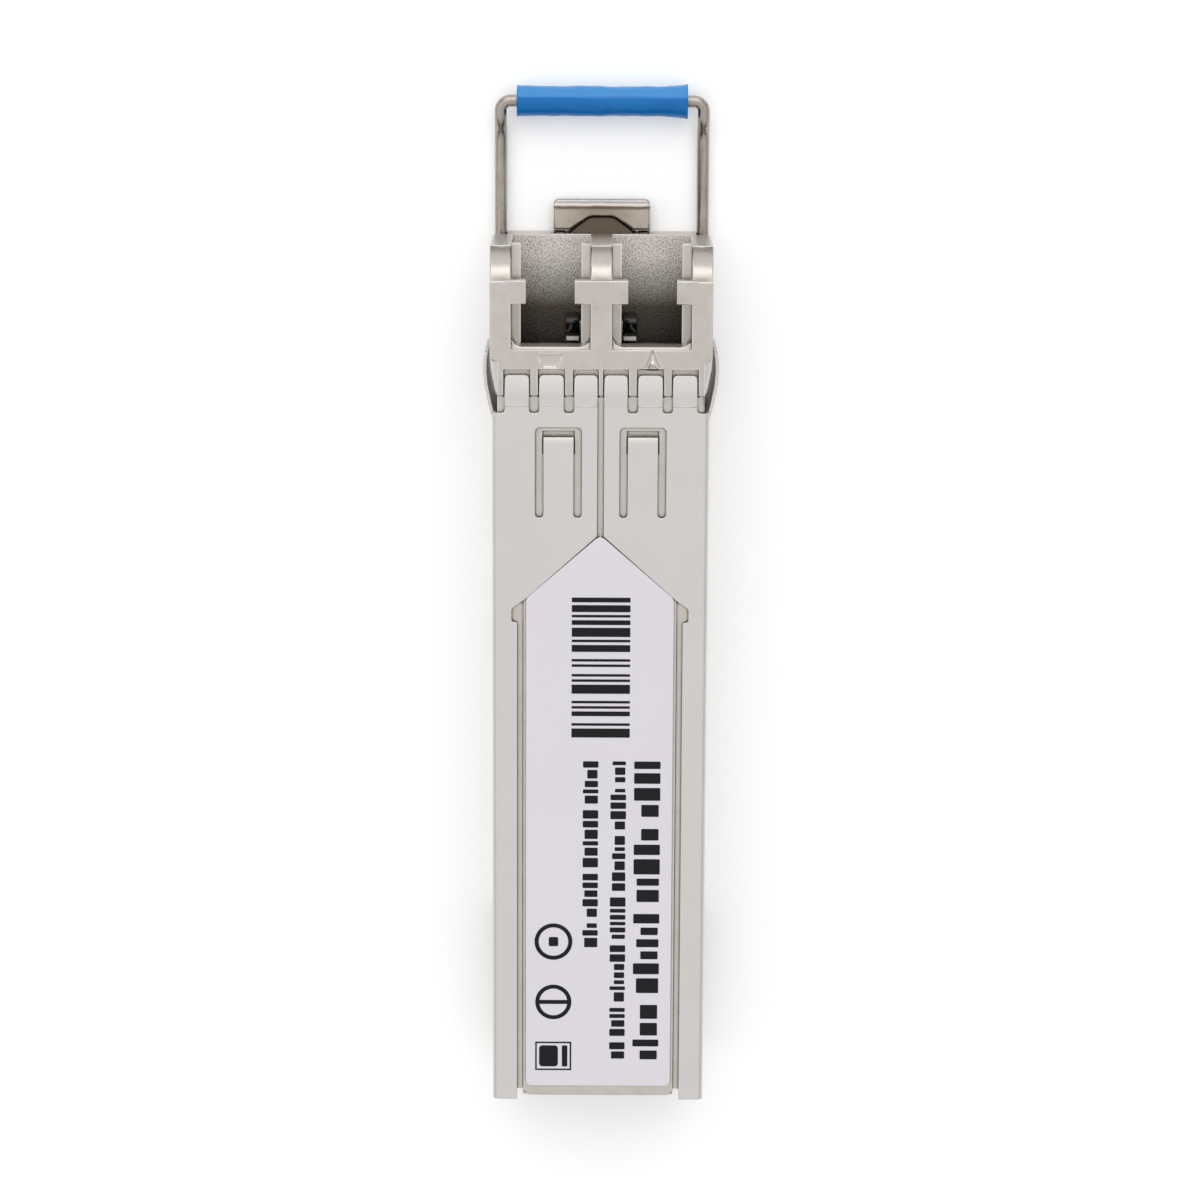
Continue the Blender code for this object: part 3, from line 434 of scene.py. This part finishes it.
def blue_plastic():
    """Soft blue tube with a satin skin and faint wrinkles along it, and painted light that makes its outer
    side paler.
    """
    look = Shader("blue_plastic_look")
    grain = look.noise(0.22, 3.0)
    swirl = look.noise(2.5, 2.0)
    drawn = look.noise(0.5, 2.0, 0.5, (0.12, 1.0, 1.0))
    tone = look.mix(swirl, (0.0005, 0.130, 0.40), (0.001, 0.150, 0.45))
    tone = look.mix(look.span(drawn, 0.55, 0.75, 0.0, 0.25), tone, (0.006, 0.19, 0.52))
    # Painted light: the side of the tube away from the body is paler, as if lit from the front.
    outer = look.maths("ADD", look.axis("Y"), look.maths("MULTIPLY", swirl, 0.12 * MM))
    axis_y = FRONT_Y + CROSSBAR[0] * MM
    outer = look.span(outer, axis_y - 0.32 * MM, axis_y - 0.18 * MM, 0.75, 0.0)
    tone = look.mix(outer, tone, (0.055, 0.27, 0.61))
    normal = look.bump(drawn, 0.02, 0.35, look.bump(grain, 0.008, 0.4))
    rough = look.span(grain, 0.3, 0.7, 0.20, 0.30)
    look.set(Base_Color=tone, Roughness=rough, Normal=normal, Specular_IOR_Level=0.28)
    return look.material


def label_white():
    """Coated polyester label."""
    look = Shader("label_white_look")
    grain = look.noise(0.15, 3.0)
    cloud = look.noise(9.0, 1.0)
    tone = look.mix(cloud, (0.665, 0.640, 0.685), (0.695, 0.670, 0.715))
    rough = look.span(grain, 0.3, 0.7, 0.42, 0.55)
    look.set(Base_Color=tone, Roughness=rough, Normal=look.bump(grain, 0.002, 0.25))
    return look.material


def print_black():
    """Thermal-transfer ink."""
    look = Shader("print_black_look")
    grain = look.noise(0.08, 3.0)
    tone = look.mix(grain, (0.006, 0.006, 0.007), (0.018, 0.017, 0.020))
    rough = look.span(grain, 0.3, 0.7, 0.45, 0.60)
    look.set(Base_Color=tone, Roughness=rough, Normal=look.bump(grain, 0.002, 0.3), Specular_IOR_Level=0.12)
    return look.material


def board_green():
    """Solder mask over copper tracks that run along the board, with a pale laminate at its edges."""
    look = Shader("board_green_look")
    tracks = look.noise(0.9, 0.0, 0.4, (1.0, 0.10, 1.0))
    edge = look.span(tracks, 0.49, 0.51)
    grain = look.noise(0.1, 2.0)
    weave = look.noise(0.3, 2.0, 0.6, (1.0, 1.0, 4.0))
    tone = look.mix(edge, (0.008, 0.10, 0.035), (0.02, 0.19, 0.06))
    tone = look.mix(look.span(grain, 0.45, 0.75, 0.0, 0.2), tone, (0.004, 0.05, 0.02))
    level = look.axis("Z")
    over = look.span(level, 2.30 * MM, 2.34 * MM)
    core = look.product(over, look.span(level, 3.16 * MM, 3.20 * MM, 1.0, 0.0))
    tone = look.mix(core, tone, look.mix(weave, (0.30, 0.29, 0.12), (0.42, 0.41, 0.20)))
    rough = look.span(grain, 0.3, 0.7, 0.22, 0.34)
    look.set(Base_Color=tone, Roughness=rough, Normal=look.bump(edge, 0.02, 0.4))
    return look.material


def barrel_steel():
    """Turned stainless steel with rings from the tool."""
    look = Shader("barrel_steel_look")
    rings = look.noise(0.05, 2.0, 0.5, (0.01, 1.0, 0.01))
    tone = look.mix(rings, (0.46, 0.45, 0.44), (0.60, 0.59, 0.57))
    rough = look.span(rings, 0.3, 0.7, 0.2, 0.36)
    look.set(Base_Color=tone, Metallic=1.0, Roughness=rough, Normal=look.bump(rings, 0.004, 0.4))
    return look.material


def grained(name, dark, light, size_mm, roughness, metallic=0.0, depth_mm=0.01):
    """A small part's finish: two close tones, a grain of one size and its bump."""
    look = Shader(name + "_look")
    grain = look.noise(size_mm, 3.0)
    tone = look.mix(grain, dark, light)
    rough = look.span(grain, 0.3, 0.7, roughness - 0.08, roughness + 0.08)
    look.set(Base_Color=tone, Metallic=metallic, Roughness=rough, Normal=look.bump(grain, depth_mm, 0.4))
    return look.material


LOOKS = {
    "cast_nickel": cast_nickel(),
    "latch_nickel": latch_nickel(),
    "sheet_nickel": sheet_nickel(),
    "wire_steel": wire_steel(),
    "blue_plastic": blue_plastic(),
    "label_white": label_white(),
    "print_black": print_black(),
    "board_green": board_green(),
    "barrel_steel": barrel_steel(),
    "ceramic": grained("ceramic", (0.74, 0.72, 0.67), (0.84, 0.82, 0.78), 0.06, 0.25),
    "gold": grained("gold", (0.70, 0.48, 0.17), (0.86, 0.64, 0.27), 0.12, 0.26, 1.0, 0.003),
    "chip_black": grained("chip_black", (0.012, 0.012, 0.013), (0.030, 0.030, 0.032), 0.05, 0.5),
    "ink_gloss": grained("ink_gloss", (0.004, 0.004, 0.005), (0.012, 0.011, 0.010), 0.3, 0.16),
    "flex_amber": grained("flex_amber", (0.30, 0.12, 0.02), (0.42, 0.19, 0.03), 0.4, 0.35),
    "gasket_grey": grained("gasket_grey", (0.07, 0.07, 0.075), (0.13, 0.13, 0.14), 0.08, 0.75),
    "pad_pink": grained("pad_pink", (0.50, 0.28, 0.31), (0.62, 0.37, 0.40), 0.1, 0.8),
    "ferrite_grey": grained("ferrite_grey", (0.05, 0.05, 0.055), (0.11, 0.11, 0.12), 0.05, 0.6),
    "tantalum_orange": grained("tantalum_orange", (0.62, 0.30, 0.04), (0.74, 0.40, 0.07), 0.08, 0.45),
}
SLOT_OF = {part["node"]: part["material_slot"] for part in frame["record"]["subparts"]}
BODY_OF = {node: body for body, group in frame["record"]["behaviour"]["bodies"].items() for node in group}

for name, thing in nodes.items():
    thing.data.materials.clear()
    thing.data.materials.append(LOOKS[SLOT_OF[name]])


# ---------------------------------------------------------------- mesh helpers


def add(name, mesh, body, slot):
    """A new piece in place, with its finish, riding on a body."""
    piece = bpy.data.objects.new(name, mesh)
    bpy.context.scene.collection.objects.link(piece)
    mesh.materials.clear()
    mesh.materials.append(LOOKS[slot])
    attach(piece, body)
    return piece


def settled(piece, node, most_mm):
    """Makes a piece's modifiers real, and draws corners that stand off the CAD solid back onto it."""
    graph = bpy.context.evaluated_depsgraph_get()
    mesh = bpy.data.meshes.new_from_object(piece.evaluated_get(graph))
    solid = nodes[node].data
    corners = [point.co for point in solid.vertices]
    surface = BVHTree.FromPolygons(corners, [face.vertices for face in solid.polygons])
    for point in mesh.vertices:
        place, normal, _, away = surface.find_nearest(point.co)
        if away > most_mm * MM and (point.co - place).dot(normal) > 0:
            point.co = place
    piece.modifiers.clear()
    mesh.name = node + "_skin"
    piece.data = mesh


def broken(piece, width_mm, segments=1):
    """A modifier that breaks a piece's edges."""
    edges = piece.modifiers.new("edges", "BEVEL")
    edges.width = width_mm * MM
    edges.segments = segments
    return edges


def smoothed(mesh):
    """Shades a mesh smooth, but not across its sharp edges."""
    mesh.shade_smooth()
    mesh.set_sharp_from_angle(angle=SHARP_OVER)


def finished(shape, name):
    """A mesh from a bmesh, with its faces turned outwards."""
    bmesh.ops.recalc_face_normals(shape, faces=shape.faces)
    mesh = bpy.data.meshes.new(name)
    shape.to_mesh(mesh)
    shape.free()
    return mesh


def bevelled(node, width_mm, segments=2, look=None, split=False):
    """A copy of a CAD node with its flat faces merged and its edges broken, which stands for the node.

    It takes another look where one is given, and split cuts its many-cornered faces into triangles.
    """
    mesh = nodes[node].data.copy()
    shape = bmesh.new()
    shape.from_mesh(mesh)
    bmesh.ops.remove_doubles(shape, verts=shape.verts, dist=MERGE_WITHIN)
    bmesh.ops.dissolve_limit(shape, angle_limit=FLAT_WITHIN, verts=shape.verts, edges=shape.edges)
    if split:
        bmesh.ops.triangulate(shape, faces=[face for face in shape.faces if len(face.verts) > 4])
    shape.to_mesh(mesh)
    shape.free()
    piece = add(node + "_skin", mesh, BODY_OF[node], SLOT_OF[node])
    if look:
        mesh.materials[0] = LOOKS[look]
    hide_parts(node)
    edges = broken(piece, width_mm, segments)
    edges.limit_method = "ANGLE"
    edges.angle_limit = BROKEN_OVER
    edges.use_clamp_overlap = False
    smoothed(mesh)
    settled(piece, node, width_mm * STAND_OFF)
    level = piece.modifiers.new("level_faces", "WEIGHTED_NORMAL")
    level.keep_sharp = True
    level.weight = 100


def rounded(corners, steps=8):
    """Points along a path whose corners (place, radius) are turned into arcs."""
    path = []
    for index, (place, radius) in enumerate(corners):
        if not radius:
            path.append(Vector(place))
            continue
        before = (Vector(corners[index - 1][0]) - Vector(place)).normalized()
        after = (Vector(corners[(index + 1) % len(corners)][0]) - Vector(place)).normalized()
        half = before.angle(after) / 2
        centre = Vector(place) + (before + after).normalized() * radius / math.sin(half)
        first = Vector(place) + before * radius / math.tan(half) - centre
        last = Vector(place) + after * radius / math.tan(half) - centre
        sweep = math.pi - 2 * half
        for step in range(steps + 1):
            part = step / steps
            blend = first * math.sin((1 - part) * sweep) + last * math.sin(part * sweep)
            path.append(centre + blend / math.sin(sweep))
    return path


def plates(name, outlines, levels, body, slot):
    """Flat closed plates between two levels, from outlines in (x, d), as one piece."""
    shape = bmesh.new()
    for outline in outlines:
        rings = [[shape.verts.new(at(x, d, z)) for x, d in outline] for z in levels]
        shape.faces.new(rings[0])
        shape.faces.new(reversed(rings[1]))
        for index in range(len(outline)):
            after = (index + 1) % len(outline)
            shape.faces.new((rings[0][after], rings[0][index], rings[1][index], rings[1][after]))
    return add(name, finished(shape, name), body, slot)


def bar(x, d, corner=0.05, steps=3):
    """A rectangle's outline in (x, d) with round corners."""
    low_x, high_x = x
    low_d, high_d = d
    corners = [(low_x, low_d), (high_x, low_d), (high_x, high_d), (low_x, high_d)]
    path = rounded([((px, pd, 0), corner) for px, pd in corners], steps)
    return [(point.x, point.y) for point in path]


def ring(x, d, radius, width, steps=40):
    """A ring's outline in (x, d), closed through a hair's-width slit."""
    outline = []
    for reach, order in ((radius, range(steps)), (radius - width, range(steps - 1, -1, -1))):
        for step in order:
            angle = 2 * math.pi * (step + 0.02) / (steps - 0.96)
            outline.append((x + reach * math.cos(angle), d + reach * math.sin(angle)))
    return outline


def frame_bar(x, d, width):
    """A thin rectangular frame's outline in (x, d), closed through a hair's-width slit."""
    (low_x, high_x), (low_d, high_d) = x, d
    slit = 0.01
    outer = [(low_x, low_d + slit), (low_x, high_d), (high_x, high_d), (high_x, low_d), (low_x, low_d)]
    in_x, out_x, in_d, out_d = low_x + width, high_x - width, low_d + width, high_d - width
    inner = [(in_x, in_d), (out_x, in_d), (out_x, out_d), (in_x, out_d), (in_x, in_d + slit)]
    return outer + inner


def label_skin():
    """The label with round corners, a hair proud of its platform."""
    path = rounded([((x, d, 0), radius) for x, d, radius in LABEL_CORNERS], 6)
    outline = [(point.x, point.y) for point in path]
    piece = plates("label_skin", [outline], LABEL_Z, "housing", "label_white")
    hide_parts("label")


def greeked(x, d, draw, widest):
    """A line of print as plain blocks in word-like groups, which say nothing."""
    low, high = x
    blocks = []
    place = d[0]
    in_word = draw.randint(3, 6)
    while place < d[1] - 0.3:
        length = min(widest * draw.uniform(0.35, 1.0), d[1] - place)
        shrink = (high - low) * draw.choice((0.0, 0.0, 0.12, 0.28))
        blocks.append(bar((low + shrink * 0.2, high - shrink), (place, place + length), 0.06))
        place += length + widest * 0.24
        in_word -= 1
        if not in_word:
            place += widest * 0.45
            in_word = draw.randint(3, 7)
    return blocks


def label_print():
    """Generic print: bars for a code, blank blocks for lines of text, and three plain marks."""
    draw = random.Random(7)
    outlines = []
    bar_x, (place, end) = CODE_BARS
    while place < end:
        width = draw.choice(CODE_WIDTHS)
        outlines.append(bar(bar_x, (place, place + width), 0.02))
        place += width + draw.choice(CODE_GAPS)
    for x, d, widest in TEXT_LINES:
        outlines += greeked(x, d, draw, widest)
    outlines += [ring(x, d, radius, MARK_LINE) for x, d, radius in MARK_RINGS]
    outlines += [bar(x, d, corner) for x, d, corner in MARK_BLOCKS]
    outlines.append(frame_bar(*MARK_FRAME, 0.10))
    levels = [LABEL_Z[1] + depth for depth in PRINT_Z]
    plates("label_print", outlines, levels, "housing", "print_black")


def bail_wire():
    """The bail's wire as one smooth round rod, with its ends turned in to the housing."""
    pivot_d, pivot_z = BAIL_PIVOT
    bar_d, bar_z = CROSSBAR
    side = [
        ((STUB_END_X, pivot_d, pivot_z), 0),
        ((LEG_X, pivot_d, pivot_z), 0.38),
        ((LEG_X, pivot_d, LEG_Z), 0.45),
        ((LEG_X, LEG_BENDS_D[0], LEG_Z), 1.6),
        ((LEG_X, LEG_BENDS_D[1], bar_z), 0.9),
        ((LEG_X, bar_d, bar_z), 0.62),
    ]
    corners = side + [((-x, d, z), radius) for (x, d, z), radius in reversed(side)]
    curve = bpy.data.curves.new("bail_wire_skin", "CURVE")
    curve.dimensions = "3D"
    curve.bevel_depth = WIRE_RADIUS * MM
    curve.bevel_resolution = 8
    curve.use_fill_caps = True
    path = rounded(corners, 12)
    spline = curve.splines.new("POLY")
    spline.points.add(len(path) - 1)
    for point, place in zip(spline.points, path):
        point.co = (*at(*place), 1)
    piece = add("bail_wire_skin", curve, "bail", "wire_steel")
    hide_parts("bail_wire")


def bail_sleeve():
    """Soft tube on the crossbar: flared open ends, the +X one less, and a slightly uneven skin."""
    around = 64
    stations = []
    steps = 72
    for step in range(steps + 1):
        along = -SLEEVE_HALF + 2 * SLEEVE_HALF * step / steps
        flare = 0.14 * max(0.0, (-along - 3.2) / 2.1) ** 2 + 0.07 * max(0.0, (along - 4.0) / 1.3) ** 2
        sag = 0.012 * math.sin(1.9 * along) + 0.010 * math.sin(4.3 * along + 1)
        stations.append((along, SLEEVE_RADIUS + flare + sag))
    hollow = []
    for end in (-1, 1):
        first = stations[0] if end < 0 else stations[-1]
        lip = [(end * (SLEEVE_HALF - 0.02), first[1] - 0.07), (end * (SLEEVE_HALF - 0.08), 0.72)]
        lip += [(end * (SLEEVE_HALF - 0.45), 0.52), (end * (SLEEVE_HALF - 1.0), 0.44)]
        hollow.append(lip)
    profile = list(reversed(hollow[0])) + stations + hollow[1]
    shape = bmesh.new()
    rings = []
    for along, radius in profile:
        loop = []
        for step in range(around):
            angle = 2 * math.pi * step / around
            ripple = 0.006 * math.sin(5 * angle - 1.7 * along)
            uneven = 1 + 0.012 * math.sin(2 * angle + 0.9 * along) + ripple
            reach = radius * uneven
            place = (along, CROSSBAR[0] + reach * math.cos(angle), CROSSBAR[1] + reach * math.sin(angle))
            loop.append(shape.verts.new(at(*place)))
        rings.append(loop)
    rings.append(rings[0])
    for first, second in zip(rings, rings[1:]):
        for step in range(around):
            after = (step + 1) % around
            shape.faces.new((first[step], first[after], second[after], second[step]))
    mesh = finished(shape, "bail_sleeve_skin")
    mesh.shade_smooth()
    piece = add("bail_sleeve_skin", mesh, "bail", "blue_plastic")
    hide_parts("bail_sleeve")


def edge_contacts():
    """Ten gold fingers on each face of the board's plug end, the ground ones longer."""
    under = (BOARD_Z[0] - 0.03, BOARD_Z[0] + 0.01)
    top = (BOARD_Z[1] - 0.01, BOARD_Z[1] + 0.03)
    for face, levels in (("top", top), ("under", under)):
        outlines = []
        for index in range(FINGERS):
            middle = (index - (FINGERS - 1) / 2) * FINGER_PITCH
            start = GROUND_START if index in GROUND_FINGERS else SIGNAL_START
            outlines.append(bar((middle - FINGER_HALF, middle + FINGER_HALF), (start, FINGER_END), 0.08))
        piece = plates(f"edge_contacts_{face}", outlines, levels, "housing", "gold")
        broken(piece, 0.01)


def folded(name, bends, x, thick_mm, slot):
    """A strip of sheet on the housing, between two places in X, that follows bends (d, z, radius)."""
    path = rounded([((0, d, z), radius) for d, z, radius in bends], 6)
    shape = bmesh.new()
    rows = [[shape.verts.new(at(side, point.y, point.z)) for side in x] for point in path]
    for first, second in zip(rows, rows[1:]):
        shape.faces.new((first[0], first[1], second[1], second[0]))
    mesh = finished(shape, name)
    piece = add(name, mesh, "housing", slot)
    sheet = piece.modifiers.new("sheet", "SOLIDIFY")
    sheet.thickness = thick_mm * MM
    sheet.offset = 0
    broken(piece, thick_mm * 0.2, 2)
    smoothed(mesh)


def port_springs():
    """Deep in each port, beside the middle rib: a dark hooked stop, a bright tab and a thin steel rail."""
    for port, side in (("tx", 1), ("rx", -1)):
        for name, bends, (near, far), thick_mm, look in PORT_SPRINGS:
            folded(f"{port}_port_{name}", bends, (side * near, side * far), thick_mm, look)


def spans(node):
    """A CAD node's box in millimetres, as spans in x, d and z."""
    low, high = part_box(node)
    d = ((low.y - FRONT_Y) / MM, (high.y - FRONT_Y) / MM)
    return (low.x / MM, high.x / MM), d, (low.z / MM, high.z / MM)


def package(node, pins):
    """A moulded package: soft edges, pads on its four sides and, on the board's top, a ring at pin one."""
    (low_x, high_x), (low_d, high_d), (low_z, high_z) = spans(node)
    bevelled(node, 0.06)
    half, reach, out = 0.12, 0.11, 0.05
    step_x = (high_x - low_x) / (pins + 1)
    step_d = (high_d - low_d) / (pins + 1)
    ends_x = (low_x - out, high_x + out)
    ends_d = (low_d - out, high_d + out)
    across = [(low_x + step_x * (index + 1), d) for index in range(pins) for d in ends_d]
    along = [(x, low_d + step_d * (index + 1)) for index in range(pins) for x in ends_x]
    outlines = [bar((x - half, x + half), (d - reach, d + reach), 0.04) for x, d in across]
    outlines += [bar((x - reach, x + reach), (d - half, d + half), 0.04) for x, d in along]
    on_top = low_z > BOARD_Z[0]
    levels = (low_z - 0.04, low_z + 0.14) if on_top else (high_z - 0.14, high_z + 0.04)
    plates(node + "_pads", outlines, levels, "housing", "barrel_steel")
    if on_top:
        mark = ring(low_x + 0.5, low_d + 0.5, 0.18, 0.05, 24)
        plates(node + "_mark", [mark], (high_z - 0.01, high_z + 0.008), "housing", "ceramic")


def two_ended(node):
    """A chip component: soft-edged body with bright metal caps wrapped round its two ends."""
    (low_x, high_x), (low_d, high_d), (low_z, high_z) = spans(node)
    bevelled(node, 0.05)
    wide, long = high_x - low_x, high_d - low_d
    reach = 0.28 * max(wide, long)
    grow = 0.03
    x, d = (low_x - grow, high_x + grow), (low_d - grow, high_d + grow)
    if wide > long:
        caps = [((x[0], x[0] + reach), d), ((x[1] - reach, x[1]), d)]
    else:
        caps = [(x, (d[0], d[0] + reach)), (x, (d[1] - reach, d[1]))]
    levels = (low_z - 0.04, high_z + grow)
    piece = plates(node + "_caps", [bar(*cap) for cap in caps], levels, "housing", "barrel_steel")
    broken(piece, 0.03, 2)


def can_leads(node, name):
    """Four gold leads out of a can's header, through the flex, each in a small fillet of solder."""
    x, d, z = spans(node)
    middle = Vector((sum(x) / 2, d[1], sum(z) / 2))
    shape = bmesh.new()
    # Each as (radius, distance past the header).
    solder = ((0.0, -0.02), (0.42, -0.02), (0.36, 0.08), (0.22, 0.17))
    lead = ((0.20, 0.22), (0.20, 0.62), (0.15, 0.68), (0.0, 0.68))
    profile = solder + lead
    steps = 24
    for turn in range(4):
        angle = math.pi / 4 + turn * math.pi / 2
        centre = middle + Vector((LEAD_CIRCLE * math.cos(angle), 0, LEAD_CIRCLE * math.sin(angle)))
        rings = []
        for radius, along in profile:
            loop = []
            for step in range(steps if radius else 1):
                spin = 2 * math.pi * step / steps
                place = centre + Vector((radius * math.cos(spin), along, radius * math.sin(spin)))
                loop.append(shape.verts.new(at(*place)))
            rings.append(loop)
        for first, second in zip(rings, rings[1:]):
            for step in range(steps):
                after = (step + 1) % steps
                corners = [first[step % len(first)], first[after % len(first)]]
                corners += [second[after % len(second)], second[step % len(second)]]
                shape.faces.new(list(dict.fromkeys(corners)))
    mesh = finished(shape, name)
    smoothed(mesh)
    add(name, mesh, "housing", "gold")


def stage():
    """Pale floor, soft light and the camera."""
    floor_mesh = bpy.data.meshes.new("floor")
    shape = bmesh.new()
    bmesh.ops.create_grid(shape, x_segments=1, y_segments=1, size=3.0)
    shape.to_mesh(floor_mesh)
    shape.free()
    floor = bpy.data.objects.new("floor", floor_mesh)
    floor.location.z = FLOOR_Z
    bpy.context.scene.collection.objects.link(floor)
    look = Shader("floor_look")
    grain = look.noise(40.0, 2.0)
    look.set(Base_Color=look.mix(grain, (0.93, 0.93, 0.93), (0.95, 0.95, 0.95)), Roughness=0.9)
    look.set(Emission_Color=(1.0, 1.0, 1.0, 1.0), Emission_Strength=FLOOR_GLOW)
    floor_mesh.materials.append(look.material)

    world = bpy.data.worlds.new("studio")
    bpy.context.scene.world = world
    world.use_nodes = True
    tree = world.node_tree
    direction = tree.nodes.new("ShaderNodeSeparateXYZ")
    tree.links.new(tree.nodes.new("ShaderNodeTexCoord").outputs["Generated"], direction.inputs["Vector"])

    def step(value, limits):
        part = tree.nodes.new("ShaderNodeMapRange")
        part.interpolation_type = "SMOOTHSTEP"
        tree.links.new(value, part.inputs["Value"])
        for key, number in zip(("From Min", "From Max", "To Min", "To Max"), limits):
            part.inputs[key].default_value = number
        return part.outputs["Result"]

    def maths(operation, *values):
        part = tree.nodes.new("ShaderNodeMath")
        part.operation = operation
        for socket, value in zip(part.inputs, values):
            tree.links.new(value, socket)
        return part.outputs["Value"]

    aside = maths("ABSOLUTE", direction.outputs["X"])
    front = maths("MULTIPLY", step(direction.outputs["Y"], FRONT_WALL), step(aside, FRONT_WIDTH))
    glow = maths("ADD", step(direction.outputs["Z"], SKY), step(direction.outputs["Y"], REAR_WALL))
    tree.links.new(maths("ADD", glow, front), tree.nodes["Background"].inputs["Strength"])
    tree.nodes["Background"].inputs["Color"].default_value = (1.0, 1.0, 1.0, 1.0)

    for name, place, size, power in SOFTBOXES:
        lamp = bpy.data.lights.new(name, "AREA")
        lamp.shape = "RECTANGLE"
        lamp.size, lamp.size_y = size
        lamp.energy = power
        thing = bpy.data.objects.new(name, lamp)
        bpy.context.scene.collection.objects.link(thing)
        thing.location = place
        thing.rotation_euler = (Vector((0, 0, 0)) - Vector(place)).to_track_quat("-Z", "Y").to_euler()

    lens = bpy.data.cameras.new("camera")
    lens.lens = LENS
    lens.sensor_width = 36.0
    lens.clip_start = 0.01
    camera = bpy.data.objects.new("camera", lens)
    bpy.context.scene.collection.objects.link(camera)
    camera.location = CAMERA_PLACE
    aim = (CAMERA_TARGET - CAMERA_PLACE).normalized()
    # Seen from above, the nose is up, so the camera's up is -Y.
    back = -aim
    up = (Vector((0, -1, 0)) - aim * Vector((0, -1, 0)).dot(aim)).normalized()
    right = up.cross(back)
    turn = Matrix((right, up, back)).transposed().to_4x4()
    camera.matrix_world = Matrix.Translation(CAMERA_PLACE) @ turn @ Matrix.Rotation(CAMERA_ROLL, 4, "Z")
    bpy.context.scene.camera = camera
    bpy.context.scene.view_settings.view_transform = "Standard"
    bpy.context.scene.view_settings.look = "None"


stage()
for name, width in SOFT_EDGES.items():
    bevelled(name, width, split=name == "top_housing")
bevelled("latch_rocker", 0.17, segments=3, look="latch_nickel")
label_skin()
label_print()
bail_wire()
bail_sleeve()
edge_contacts()
port_springs()
can_leads("tx_laser_can", "tx_can_leads")
can_leads("rx_detector_can", "rx_can_leads")
for name, pins in PACKAGES:
    package(name, pins)
for name in nodes:
    if name.startswith(TWO_ENDED):
        two_ended(name)
